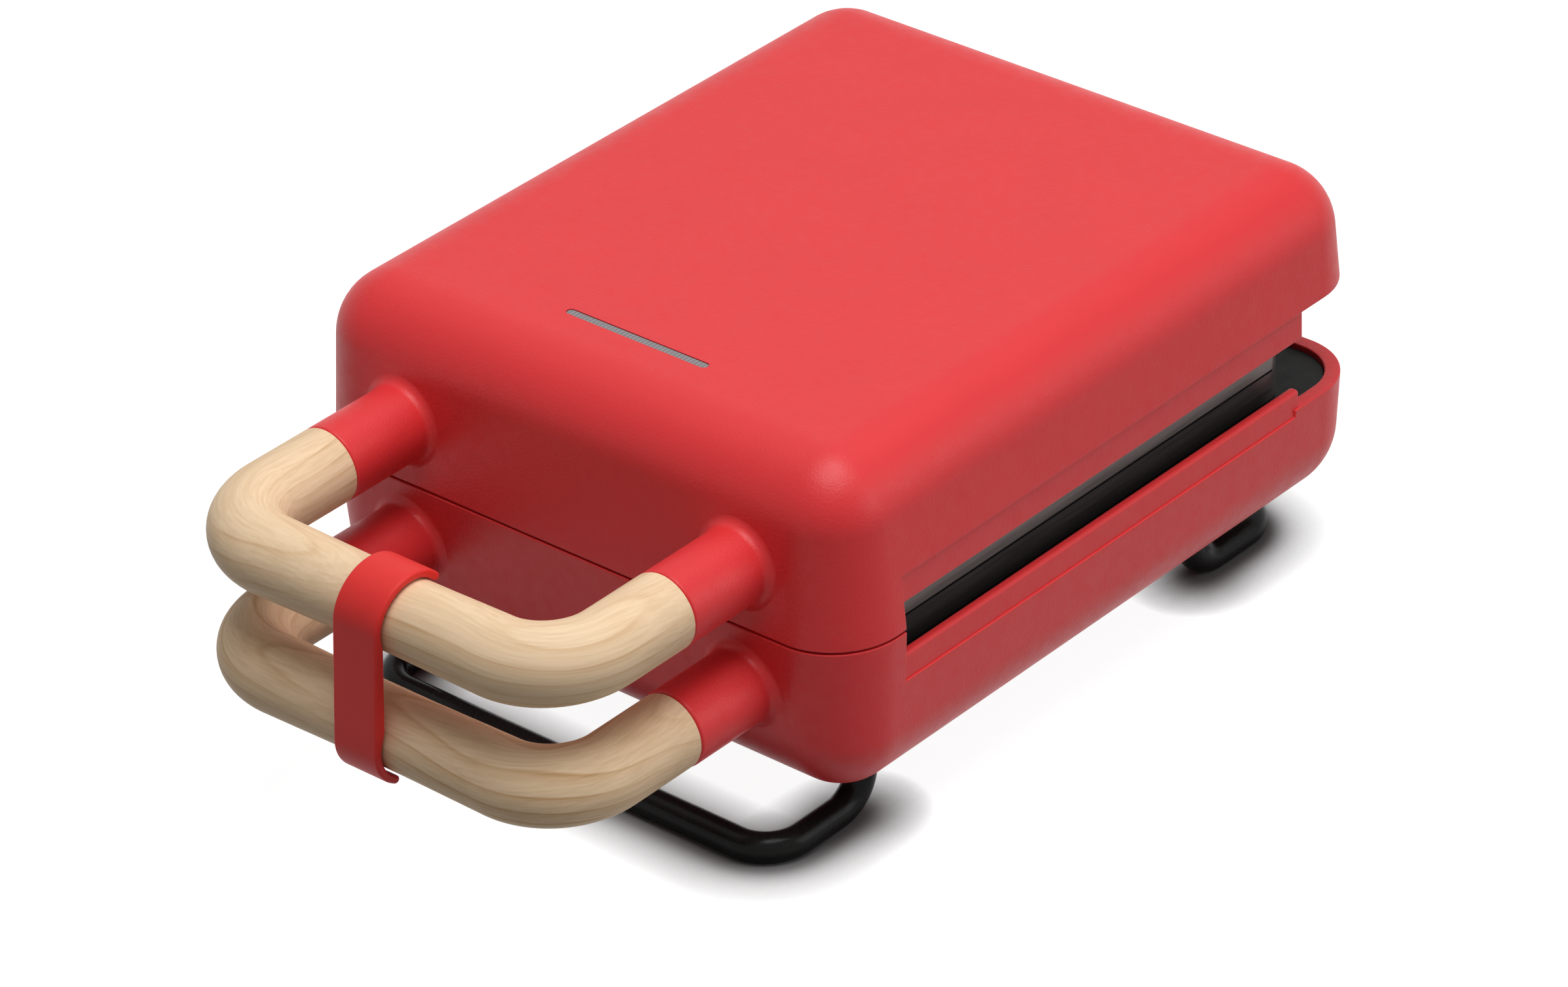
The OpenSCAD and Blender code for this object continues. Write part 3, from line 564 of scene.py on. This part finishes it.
def shell_rows(form, start, levels, sign, thick_rim=False):
    """Rings of points from the seam to the flat of the top, for a surface drawn in by start.

    thick_rim adds to the wall at the open rear.
    """
    height, draft, radius = form
    middle = height - radius
    rows = []
    for z in levels:
        ring = plan_loop(wall_inset(form, z, start))
        if thick_rim and RIM_TOP <= z <= RIM_LOW:
            rim = plan_loop(wall_inset(form, z, start) + RIM_T - WALL)
            ring = [b if a[1] > RIM_START - 0.1 else a for a, b in zip(ring, rim)]
        rows.append([(x, y, sign * z) for x, y in ring])
    for k in range(ARC_STEPS + 1):
        t = draft + (math.pi / 2 - draft) * k / ARC_STEPS
        z = middle + radius * math.sin(t)
        rows.append([(x, y, sign * z) for x, y in plan_loop(wall_inset(form, z, start))])
    flat = wall_inset(form, height, start)
    rows.append([(x, y, sign * height) for x, y in plan_loop(flat + 1.0)])
    return rows


def shell(form, levels, sign, cut_level):
    """Hollow half of the body.

    cut_level gives, for a place along the body, the height below which the wall is open.
    """
    height, draft, radius = form
    bm = bmesh.new()
    outer_rows = shell_rows(form, 0.0, levels, sign)
    inner_rows = shell_rows((height - WALL, draft, radius - WALL), WALL, levels, sign, thick_rim=sign < 0)
    outer = [add_points(bm, row) for row in outer_rows]
    inner = [add_points(bm, row) for row in inner_rows]
    count = len(outer[0])
    cuts = [cut_level((outer_rows[0][j][1] + outer_rows[0][(j + 1) % count][1]) / 2) for j in range(count)]

    def kept(i, j):
        if not 0 <= i < len(outer) - 1:
            return False
        middle = (abs(outer_rows[i][j][2]) + abs(outer_rows[i + 1][j][2])) / 2
        return middle > cuts[j % count]

    edge_faces = []
    for i in range(len(outer)):
        for j in range(count):
            k = (j + 1) % count
            if kept(i, j):
                for rows in (outer, inner):
                    bm.faces.new((rows[i][j], rows[i][k], rows[i + 1][k], rows[i + 1][j]))
            if i < len(outer) - 1 and kept(i, j) != kept(i - 1, j):
                edge_faces.append(bm.faces.new((outer[i][j], outer[i][k], inner[i][k], inner[i][j])))
            if kept(i, j) != kept(i, (j - 1) % count):
                edge_faces.append(bm.faces.new((outer[i][j], outer[i + 1][j], inner[i + 1][j], inner[i][j])))
    bm.faces.new(outer[-1])
    bm.faces.new(inner[-1])
    bmesh.ops.delete(bm, geom=[v for v in bm.verts if not v.link_faces], context="VERTS")
    bm.normal_update()
    bmesh.ops.recalc_face_normals(bm, faces=bm.faces[:])
    rim = set(edge_faces)
    edges = []
    for edge in {e for f in edge_faces for e in f.edges}:
        inside = sum(f in rim for f in edge.link_faces)
        if inside == 1 or edge.calc_face_angle(0) > math.radians(40):
            edges.append(edge)
    round_edges(bm, edges, EDGE_BEVEL, 3)
    return bm


def socket(bm, x, z, form):
    """Tube that a handle's arm plugs into, flared where it meets the drafted wall."""
    sign = math.copysign(1, z)
    edge_r = SOCKET_R - SOCKET_ROUND
    round_end = [(edge_r + SOCKET_ROUND * math.sin(t), SOCKET_END + SOCKET_ROUND * (1 - math.cos(t)), 0)
                 for t in np.linspace(0, math.pi / 2, 5)]
    flare = [(SOCKET_R + SOCKET_FLARE * (1 - math.cos(t)), SOCKET_FLARE * (math.sin(t) - 1), 1)
             for t in np.linspace(0, math.pi / 2, 11)]
    flare[-1] = (flare[-1][0], SOCKET_SINK, 1)
    inside = [(SOCKET_R + SOCKET_FLARE - 0.5, 1.2, 1), (SOCKET_R, 3.4, 0), (SOCKET_R, SCREW_SEAT, 0)]
    bore = [(SCREW_R, SCREW_SEAT, 0), (SCREW_R, SOCKET_WEB, 0), (SOCKET_BORE_R, SOCKET_WEB, 0),
            (SOCKET_BORE_R, SOCKET_END + SOCKET_CHAMFER, 0), (SOCKET_BORE_R + SOCKET_CHAMFER, SOCKET_END, 0)]
    rings = []
    for k in range(SOCKET_STEPS):
        a = math.tau * k / SOCKET_STEPS
        ring = []
        for r, y, follows in round_end + flare + inside + bore:
            height = z + r * math.sin(a)
            ring.append((x + r * math.cos(a), y + follows * wall_inset(form, sign * height), height))
        rings.append(add_points(bm, ring))
    add_grid(bm, rings, close_rows=True)


def tube(bm, centre, radius, bore, z0, z1, steps=32):
    """Upright tube between two heights."""
    lathe(bm, [(radius, z0), (radius, z1), (bore, z1), (bore, z0)], (*centre, 0), "Z", steps)


def side_strip(bm, side, xs, end, zs, rounding, segments):
    """Rounded strip along the inner face of a side wall, over the length of the gap."""
    lo, hi = sorted(side * x for x in xs)
    rounded_box(bm, (lo, GAP_START - 1, zs[0]), (hi, end, zs[1]), rounding, segments)


def lid_cover():
    form = (LID_H, LID_DRAFT, LID_EDGE_R)
    levels = [SEAM_HALF, 2.5, 5, 8, GAP_TOP, 14, 17, 20]
    bm = shell(form, levels, 1, lambda y: -1 if y < GAP_START else GAP_TOP)
    holes = bmesh.new()
    for side in (-1, 1):
        rod(holes, (side * GRIP_X, 0, GRIP_Z), "Y", SCREW_WAY_R, *SCREW_WAY_Y)
    add_prism(holes, stadium(LENS_L / 2, LENS_W / 2), (0, LENS_Y), LID_H - WALL - 1, LID_H + 1)
    bm = boolean(bm, holes, "DIFFERENCE")
    extra = bmesh.new()
    for side in (-1, 1):
        side_strip(extra, side, SKIRT_X, SKIRT_END, SKIRT_Z, SKIRT_ROUND, 3)
        socket(extra, side * GRIP_X, GRIP_Z, form)
        for y in POST_YS:
            tube(extra, (side * POST_X, y), POST_R, SCREW_R, *LID_POST_Z)
        tube(extra, (side * LAMP_POST_X, LENS_Y), LAMP_POST_R, LAMP_POST_BORE_R, *LAMP_POST_Z)
    bm = boolean(bm, extra, "UNION")
    make_piece("lid_cover", bm, "lid", "red_plastic", ["lid_shell"])


def base_tub():
    form = (BASE_H, BASE_DRAFT, BASE_EDGE_R)
    levels = [SEAM_HALF, 3.5, 7, RIM_TOP, GAP_BOTTOM, 12.7, RIM_LOW, RIM_LOW + 0.2, 19]

    def cut(y):
        return -1 if y < GAP_START else GAP_BOTTOM if y < RIM_START - 0.05 else RIM_TOP

    bm = shell(form, levels, -1, cut)
    holes = bmesh.new()
    for side in (-1, 1):
        rod(holes, (side * GRIP_X, 0, -GRIP_Z), "Y", SCREW_WAY_R, *SCREW_WAY_Y)
        for y in LEG_UPRIGHTS:
            rod(holes, (side * LEG_X, y, 0), "Z", ROD_R + LEG_HOLE_GAP, -BASE_H - 1, LEG_HOLE_TOP)
    rod(holes, (0, 0, GLAND_Z), "Y", GLAND_SEAT_R, *GLAND_SEAT_Y)
    bm = boolean(bm, holes, "DIFFERENCE")
    extra = bmesh.new()
    for side in (-1, 1):
        side_strip(extra, side, LIP_X, LIP_END, LIP_Z, LIP_ROUND, 4)
        socket(extra, side * GRIP_X, -GRIP_Z, form)
        for y in POST_YS:
            tube(extra, (side * POST_X, y), POST_R, SCREW_R, *BASE_POST_Z)
        for y in LEG_UPRIGHTS:
            tube(extra, (side * LEG_X, y), LEG_BOSS_R, ROD_R + LEG_BOSS_GAP, *LEG_BOSS_Z)
    bm = boolean(bm, extra, "UNION")
    make_piece("base_tub", bm, "base", "red_plastic", ["base_shell"])


def stadium(half_length, radius, steps=10):
    """Outline of a bar with rounded ends, along X."""
    half = half_length - radius
    return arc_points((half, 0), radius, -90, 90, steps) + arc_points((-half, 0), radius, 90, 270, steps)


def add_prism(bm, outline, centre, z0, z1):
    """Plan outline pulled up between two heights; gives the ring of vertices at each end."""
    rings = [add_points(bm, [(x + centre[0], y + centre[1], z) for x, y in outline]) for z in (z0, z1)]
    add_grid(bm, rings)
    for ring in rings:
        bm.faces.new(ring)
    return rings


def lamp_window_piece():
    bm = bmesh.new()
    under = LID_H - WALL
    bar = stadium(LENS_L / 2 - LENS_GAP, LENS_W / 2 - LENS_GAP)
    rings = add_prism(bm, bar, (0, LENS_Y), under - 0.2, LID_H - LENS_SUNK)
    edges = [e for e in bm.edges if all(v in rings[1] for v in e.verts)]
    round_edges(bm, edges, 0.15)
    flange = bmesh.new()
    low, high = (-FLANGE_X, LENS_Y - FLANGE_Y, under - FLANGE_T), (FLANGE_X, LENS_Y + FLANGE_Y, under)
    rounded_box(flange, low, high, 0.25)
    bm = boolean(bm, flange, "UNION")
    make_piece("lamp_window", bm, "lid", "lamp_window", ["indicator_lens"])


# Bars and rods

def bend(centre, start, end, steps):
    """Quarter turn round a centre, from start to end, as (point, direction) pairs without the first."""
    centre, start, end = Vector(centre), Vector(start), Vector(end)
    turns = [(math.cos(a), math.sin(a)) for a in (math.pi / 2 * k / steps for k in range(1, steps + 1))]
    return [(centre + start * c + end * s, end * c - start * s) for c, s in turns]


def sweep(bm, path, radii, sides):
    """Tube along (point, direction) pairs with a radius for each, capped at both ends."""
    across = Vector(path[0][1]).orthogonal().normalized()
    rings = []
    for (centre, direction), radius in zip(path, radii):
        along = Vector(direction).normalized()
        across = (across - along * across.dot(along)).normalized()
        up = along.cross(across)
        turns = [(math.cos(a), math.sin(a)) for a in (math.tau * k / sides for k in range(sides))]
        rings.append(add_points(bm, [Vector(centre) + (across * c + up * s) * radius for c, s in turns]))
    add_grid(bm, rings)
    bm.faces.new(rings[0])
    bm.faces.new(rings[-1])


def mirrored(path):
    """The path followed by its mirror image across the middle plane."""
    back = [(Vector((-p.x, p.y, p.z)), Vector((d.x, -d.y, -d.z))) for p, d in reversed(path)]
    return path + back


def grip(name, z, radius, bar_y, body, look, node):
    """Bent wooden handle with a tenon on each arm."""
    down = Vector((0, -1, 0))
    places = [TENON_END, TENON_END - TENON_CHAMFER, SOCKET_END, *(SOCKET_END - d for d, _ in SHOULDER), ARM_Y]
    radii = [TENON_R - TENON_CHAMFER, TENON_R, TENON_R, *(radius - t for _, t in SHOULDER), radius]
    path = [(Vector((GRIP_X, y, z)), down) for y in places]
    turn = (GRIP_X - GRIP_BEND_R, bar_y + GRIP_BEND_R, z)
    path.append((Vector((GRIP_X, turn[1], z)), down))
    path += bend(turn, (GRIP_BEND_R, 0, 0), (0, -GRIP_BEND_R, 0), GRIP_BEND_STEPS)
    path += [(Vector((x, bar_y, z)), Vector((-1, 0, 0))) for x in BAR_X]
    path = mirrored(path)
    half = radii + [radius] * (GRIP_BEND_STEPS + 1) + [radius - t for t in BAR_THINNING]
    bm = bmesh.new()
    sweep(bm, path, half + half[::-1], sides=56)
    make_piece(name, bm, body, look, [node])


def wire_leg(name, bar_y, up_y, node):
    """Bent rod: a crossbar on the worktop, with arms that run under the tub and turn up into it."""
    along = math.copysign(1, up_y - bar_y)
    rise, turn = along * LEG_RISE_R, along * LEG_BEND_R
    axis_z = FLOOR_Z + ROD_R - ROD_FLAT
    low_z = axis_z + LEG_RISE_R
    heights = (UPRIGHT_TOP, UPRIGHT_TOP - ROD_CHAMFER, low_z)
    path = [(Vector((LEG_X, up_y, z)), Vector((0, 0, -1))) for z in heights]
    path += bend((LEG_X, up_y - rise, low_z), (0, rise, 0), (0, 0, -LEG_RISE_R), 14)
    path.append((Vector((LEG_X, bar_y + turn, axis_z)), Vector((0, -along, 0))))
    path += bend((LEG_X - LEG_BEND_R, bar_y + turn, axis_z), (LEG_BEND_R, 0, 0), (0, -turn, 0), 16)
    path = mirrored(path)
    radii = [ROD_R - ROD_CHAMFER] + [ROD_R] * (len(path) - 2) + [ROD_R - ROD_CHAMFER]
    bm = bmesh.new()
    sweep(bm, path, radii, sides=32)
    for v in bm.verts:
        v.co.z = max(v.co.z, FLOOR_Z)
    make_piece(name, bm, "base", "black_rod", [node])


# Clip

CLIP_X, CLIP_W, CLIP_T, CLIP_ROUND = 1.3, 11.2, 1.72, 0.55
CLIP_LEAN = 0.075
CLIP_BARS = ((-49.9, GRIP_Z), (-50.3, -GRIP_Z))
RIB_Y, RIB_END = -57.5, 8.2
HOOK_R, HOOK_TIPS = 9.9, (41, 241)


def clip_outline():
    """Outline in Y and Z: hook over the upper bar, flat front, lip under the lower bar."""
    upper, lower = CLIP_BARS
    inner_r, tip_r = HOOK_R - CLIP_T, CLIP_T / 2
    tip_up, tip_low = HOOK_TIPS

    def tip(bar, angle, turn):
        a = math.radians(angle)
        middle = (bar[0] + (HOOK_R - tip_r) * math.cos(a), bar[1] + (HOOK_R - tip_r) * math.sin(a))
        return arc_points(middle, tip_r, angle + turn, angle + turn - 180, 8)[1:-1]

    points = arc_points(upper, HOOK_R, 180, tip_up, 30) + tip(upper, tip_up, 0)
    points += arc_points(upper, inner_r, tip_up, 201, 34)
    points += [(RIB_Y, z) for z in (RIB_END, 0, -RIB_END)]
    points += arc_points(lower, inner_r, 159, tip_low, 20) + tip(lower, tip_low, 180)
    return points + arc_points(lower, HOOK_R, tip_low, 180, 14)


def front_clip():
    bm = bmesh.new()
    slab(bm, clip_outline(), CLIP_X - CLIP_W / 2, CLIP_X + CLIP_W / 2, CLIP_ROUND)
    for v in bm.verts:
        v.co.x += CLIP_LEAN * v.co.z
    make_piece("front_clip", bm, "clip", "red_silicone", ["latch_clip"])


# Baking plates

def circle(x, y, cx, cy, r):
    """Distance inside a circle, negative outside."""
    return r - np.hypot(x - cx, y - cy)


def segment(x, y, a, b):
    """Distance from a segment."""
    d = (b[0] - a[0], b[1] - a[1])
    t = np.clip(((x - a[0]) * d[0] + (y - a[1]) * d[1]) / (d[0] ** 2 + d[1] ** 2), 0, 1)
    return np.hypot(x - a[0] - t * d[0], y - a[1] - t * d[1])


def ridge(distance, width, height):
    """Height of a soft ridge at a distance from its middle."""
    return height * np.exp(-(distance / width) ** 2)


def mould_inside(x, y):
    """Distance inside the fish's outline; x is from its middle line and y from the middle of its body."""
    body_r, body_x = 48.75, 24.75
    lobe_x, lobe_y, lobe_r = 10, 52, 13
    neck_w, neck_y0, neck_y1 = 9, 30, 56
    notch_y, notch_r = 70, 10
    soft = 2.0
    body = np.minimum(circle(x, y, body_x, 0, body_r), circle(x, y, -body_x, 0, body_r))
    lobes = np.maximum(circle(x, y, -lobe_x, lobe_y, lobe_r), circle(x, y, lobe_x, lobe_y, lobe_r))
    neck = np.minimum(neck_w - np.abs(x), np.minimum(y - neck_y0, neck_y1 - y))
    tail = np.minimum(np.maximum(lobes, neck), -circle(x, y, 0, notch_y, notch_r))
    blend = np.clip(0.5 + (body - tail) / (2 * soft), 0, 1)
    return tail + (body - tail) * blend + soft * blend * (1 - blend)


def mould_detail(x, y, inside):
    """Raised lines on the floor of a mould: scales, gill, eye, mouth, fin and tail rays."""
    lines = np.zeros_like(x)
    pitch_x, pitch_y, scale_r = 7.0, 4.6, 4.1
    gill_y, gill_r, gill_end = -42, 22, -36
    eye_x, eye_y, eye_r, eye_ring_r = -7, -27, 2.4, 3.9
    mouth = (3, -38), (7, -31)
    fin_x, fin_y, fin_r = 3, -4, 6.5
    scales_y0, scales_y1 = -17, 36
    tail_y, fan_y, fan_rays, fan_h = 40, 20, 52, 0.55
    wall_in, wall_fade = 3.2, 1.2
    on_body = np.clip((y - scales_y0) / 2, 0, 1) * np.clip((scales_y1 - y) / 2, 0, 1)
    for row in range(-4, 9):
        cy = row * pitch_y
        cx = pitch_x * (np.floor(x / pitch_x) + 0.5) if row % 2 else pitch_x * np.round(x / pitch_x)
        arc = ridge(np.hypot(x - cx, y - cy) - scale_r, 0.5, 0.45) * (y > cy - 0.3)
        lines = np.maximum(lines, arc * on_body)
    gill = ridge(np.hypot(x, y - gill_y) - gill_r, 0.8, 0.7) * (y > gill_end)
    eye = np.hypot(x - eye_x, y - eye_y)
    eyeball = 0.9 * np.sqrt(np.clip(1 - (eye / eye_r) ** 2, 0, 1))
    lines = np.maximum.reduce([lines, gill, eyeball, ridge(eye - eye_ring_r, 0.55, 0.5)])
    lines = np.maximum(lines, ridge(segment(x, y, *mouth), 0.6, 0.6))
    fin = circle(x, y, fin_x, fin_y, fin_r)
    rays = 0.4 * np.clip(np.sin(x * 2.6 + 0.6), 0, 1)
    lines = np.where(fin > 0, 0.35 + rays, np.maximum(lines, ridge(fin, 0.5, 0.7)))
    spread = np.arctan2(x, y - fan_y)
    tail = np.clip((y - tail_y) / 3, 0, 1) * np.clip(np.cos(spread * fan_rays) * 1.4, 0, 1) * fan_h
    return np.maximum(lines, tail) * np.clip((inside - wall_in) / wall_fade, 0, 1)


def baking_plate(name, sign, body, node):
    """Cast plate with two moulds; sign is the side of the seam that its back is on."""
    half, front, rear = PLATE_W / 2 + 1, PLATE_FRONT - 1, PLATE_REAR + 1
    xs = np.linspace(-half, half, int(2 * half / PLATE_CELL) + 1)
    ys = np.linspace(front, rear, int((rear - front) / PLATE_CELL) + 1)
    x, y = np.meshgrid(xs, ys)
    inside = mould_inside(np.abs(x) - MOULD_X, y - MOULD_Y)
    depth = MOULD_D * (1 - (1 - np.clip(inside / MOULD_SIDE, 0, 1)) ** 2.4)
    depth -= mould_detail(np.abs(x) - MOULD_X, y - MOULD_Y, inside)
    edge = np.minimum(PLATE_W / 2 - np.abs(x), np.minimum(y - PLATE_FRONT, PLATE_REAR - y))
    channel = ridge(edge - CHANNEL_IN, CHANNEL_W, CHANNEL_D) * (inside < 0)
    depth = np.where(inside > 0, depth, channel)
    bm = bmesh.new()
    z = sign * (PLATE_HALF_GAP + depth)
    rows = [add_points(bm, [tuple(p) for p in np.stack((x[i], y[i], z[i]), 1)]) for i in range(len(ys))]
    add_grid(bm, rows, close_columns=False)
    rim = rows[0] + [r[-1] for r in rows[1:]] + rows[-1][-2::-1] + [r[0] for r in rows[-2:0:-1]]
    far = add_points(bm, [(v.co.x, v.co.y, sign * (PLATE_T + 2)) for v in rim])
    add_grid(bm, [rim, far])
    bm.faces.new(far)
    block = bmesh.new()
    r = PLATE_CORNER_R
    corners = [(PLATE_W / 2 - r, PLATE_REAR - r, 0), (r - PLATE_W / 2, PLATE_REAR - r, 90),
               (r - PLATE_W / 2, PLATE_FRONT + r, 180), (PLATE_W / 2 - r, PLATE_FRONT + r, 270)]
    outline = [p for cx, cy, a in corners for p in arc_points((cx, cy), r, a, a + 90, 12)]
    near, back = sorted((sign * PLATE_HALF_GAP, sign * PLATE_T), key=abs)
    rings = add_prism(block, outline, (0, 0), near, back)
    edges = [e for e in block.edges if any(all(v in ring for v in e.verts) for ring in rings)]
    round_edges(block, edges, PLATE_ROUND)
    bm = boolean(bm, block, "INTERSECT")
    holes = bmesh.new()
    seats = (-1, SCREW_HEAD_D, SCREW_HEAD_D, PLATE_T + 3)
    for side in (-1, 1):
        for post_y in POST_YS:
            path = [((side * POST_X, post_y, sign * z), (0, 0, 1)) for z in seats]
            sweep(holes, path, [SCREW_HEAD_R, SCREW_HEAD_R, SCREW_R, SCREW_R], sides=32)
        left, right = sorted((side * (PLATE_W / 2 - GROOVE_D), side * (PLATE_W / 2 + 1)))
        low, high = sorted(sign * z for z in GROOVE_Z)
        groove = (left, PLATE_FRONT + GROOVE_IN, low), (right, PLATE_REAR - GROOVE_IN, high)
        rounded_box(holes, *groove, edge=0.05, segments=1)
    bm = boolean(bm, holes, "DIFFERENCE")
    bm.normal_update()
    # Side faces within GROOVE_Z[0] of the seam take plate_edge, a painted highlight along the parting edges;
    # the rest take plate_side.
    for face in bm.faces:
        x, y, z = face.calc_center_median()
        outside = abs(x) > PLATE_W / 2 - 1 or not PLATE_FRONT + 1 < y < PLATE_REAR - 1
        if outside and abs(face.normal.z) < 0.6:
            face.material_index = 2 if abs(z) < GROOVE_Z[0] else 1
    make_piece(name, bm, body, ("coated_plate", "plate_side", "plate_edge"), [node])


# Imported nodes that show

FRAME_INSET, FRAME_GROW = 5.6, 1.4
FRAME_ROUND, CASTING_ROUND = 0.3, 0.4


def widen_rear(bm, grow):
    """Moves the outline of an inner frame outwards behind the middle, so that it fills the rim."""
    centre_x, centre_y = BODY_W / 2 - CORNER_R, BODY_L - CORNER_R
    for v in bm.verts:
        out = Vector((max(abs(v.co.x) - centre_x, 0), max(v.co.y - centre_y, 0)))
        if v.co.y > BODY_L / 2 and out.length > CORNER_R - FRAME_INSET - 0.5:
            out = out.normalized() * grow
            v.co.x += math.copysign(out.x, v.co.x)
            v.co.y += out.y


def rounded_copy(name, node, body, look, edge, rear_grow=0.0):
    """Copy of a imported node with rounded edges, which stands for it."""
    bm = bmesh.new()
    bm.from_mesh(frame["nodes"][node].data)
    bmesh.ops.transform(bm, matrix=TO_FRAME.inverted(), verts=bm.verts[:])
    bmesh.ops.remove_doubles(bm, verts=bm.verts[:], dist=0.01)
    bmesh.ops.dissolve_limit(bm, angle_limit=math.radians(2), verts=bm.verts[:], edges=bm.edges[:])
    if rear_grow:
        widen_rear(bm, rear_grow)
    edges = [e for e in bm.edges if e.is_manifold and e.calc_face_angle(0) > math.radians(35)]
    bmesh.ops.bevel(bm, geom=edges, offset=edge, segments=2, profile=0.5, affect="EDGES", clamp_overlap=True)
    make_piece(name, bm, body, look, [node])


def finish_nodes():
    """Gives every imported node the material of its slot."""
    for part in frame["record"]["subparts"]:
        for slot in frame["nodes"][part["node"]].material_slots:
            slot.material = MATERIALS[part["material_slot"]]


# Floor, world and lights, with places and sizes in metres

FLOOR_HALF, FADE_START, FADE_END = 6, 0.5, 2.5
FLOOR_ALBEDO, FLOOR_GLOW, AMBIENT = 0.2, 0.93, 0.2
# Reach, steepness and samples of the painted contact shadow, which darkens the floor's glow by ambient
# occlusion.
PAINTED_SHADOW_REACH, PAINTED_SHADOW_POWER, PAINTED_SHADOW_SAMPLES = 0.0128, 8.0, 32
LIGHT_AIM = (0, 0, 0.04)


def make_stage():
    """Pale floor that keeps the object's shadow, with a painted contact shadow where ambient occlusion
    darkens its glow close to the legs, and a white surround.
    """
    bm = bmesh.new()
    bmesh.ops.create_grid(bm, x_segments=1, y_segments=1, size=FLOOR_HALF)
    mesh = bpy.data.meshes.new("floor")
    bm.to_mesh(mesh)
    bm.free()
    floor = bpy.data.objects.new("floor", mesh)
    bpy.context.scene.collection.objects.link(floor)
    mat, tree, shader = new_material("floor")
    set_shader(shader, Roughness=1.0, Specular_IOR_Level=0.0)
    shader.inputs["Base Color"].default_value = (FLOOR_ALBEDO, FLOOR_ALBEDO, FLOOR_ALBEDO, 1)
    shader.inputs["Emission Color"].default_value = (1, 1, 1, 1)
    far = vector_math(tree, "LENGTH", add(tree, "ShaderNodeTexCoord").outputs["Object"])
    glow = add(tree, "ShaderNodeMapRange", {
        "Value": far, "From Min": FADE_START, "From Max": FADE_END, "To Min": FLOOR_GLOW, "To Max": 1.0})
    # Painted contact shadow: ambient occlusion close to the legs darkens the floor's glow.
    near = add(tree, "ShaderNodeAmbientOcclusion", {"Distance": PAINTED_SHADOW_REACH}, samples=PAINTED_SHADOW_SAMPLES)
    painted_contact_shadow = math_node(tree, "POWER", near.outputs["AO"], PAINTED_SHADOW_POWER)
    glow = math_node(tree, "MULTIPLY", glow.outputs["Result"], painted_contact_shadow)
    glow = math_node(tree, "MULTIPLY", glow, seen_rays(tree))
    tree.links.new(glow, shader.inputs["Emission Strength"])
    mesh.materials.append(mat)

    world = bpy.data.worlds.new("studio")
    world.use_nodes = True
    bpy.context.scene.world = world
    tree = world.node_tree
    background = next(n for n in tree.nodes if n.type == "BACKGROUND")
    background.inputs["Color"].default_value = (1, 1, 1, 1)
    level = add(tree, "ShaderNodeMapRange", {"Value": seen_rays(tree), "To Min": AMBIENT, "To Max": 1.0})
    tree.links.new(level.outputs["Result"], background.inputs["Strength"])


def seen_rays(tree):
    """1 for camera, glossy and transmission rays, which show the white surround, and 0 for the rest."""
    path = add(tree, "ShaderNodeLightPath").outputs
    shown = math_node(tree, "MAXIMUM", path["Is Camera Ray"], path["Is Glossy Ray"])
    return math_node(tree, "MAXIMUM", shown, path["Is Transmission Ray"])


def area_light(name, place, size, power):
    """Square lamp that faces the object's middle."""
    data = bpy.data.lights.new(name, "AREA")
    data.shape = "SQUARE"
    data.size = size
    data.energy = power
    light = bpy.data.objects.new(name, data)
    bpy.context.scene.collection.objects.link(light)
    turn = (Vector(place) - Vector(LIGHT_AIM)).to_track_quat("Z", "Y").to_matrix().to_4x4()
    light.matrix_world = Matrix.Translation(place) @ turn


make_camera()
make_stage()
area_light("key softbox", (0.22, -0.06, 1.5), size=1.0, power=18.5)
area_light("side fill", (1.85, 0.9, 0.8), size=1.2, power=10.5)
bpy.context.scene.view_settings.view_transform = "Standard"

finish_nodes()
lid_cover()
base_tub()
lamp_window_piece()
grip("lid_grip", GRIP_Z, LID_GRIP_R, LID_BAR_Y, "lid", "pale_wood", "lid_handle")
grip("base_grip", -GRIP_Z, BASE_GRIP_R, BASE_BAR_Y, "base", "base_wood", "base_handle")
front_clip()
wire_leg("front_wire_leg", LEG_BARS[0], LEG_UPRIGHTS[0], "front_leg")
wire_leg("rear_wire_leg", LEG_BARS[1], LEG_UPRIGHTS[1], "rear_leg")
baking_plate("lower_baking_plate", -1, "base", "lower_plate")
baking_plate("upper_baking_plate", 1, "lid", "upper_plate")
rounded_copy("base_inner_frame", "base_frame", "base", "black_plastic", FRAME_ROUND, FRAME_GROW)
rounded_copy("lid_inner_frame", "lid_frame", "lid", "black_plastic", FRAME_ROUND, FRAME_GROW)
rounded_copy("hinge_knuckle", "hinge_bracket", "base", "black_casting", CASTING_ROUND)
rounded_copy("hinge_ears", "hinge_arms", "lid", "black_casting", CASTING_ROUND)
rounded_copy("rear_gland", "cord_gland", "base", "black_plastic", CASTING_ROUND)
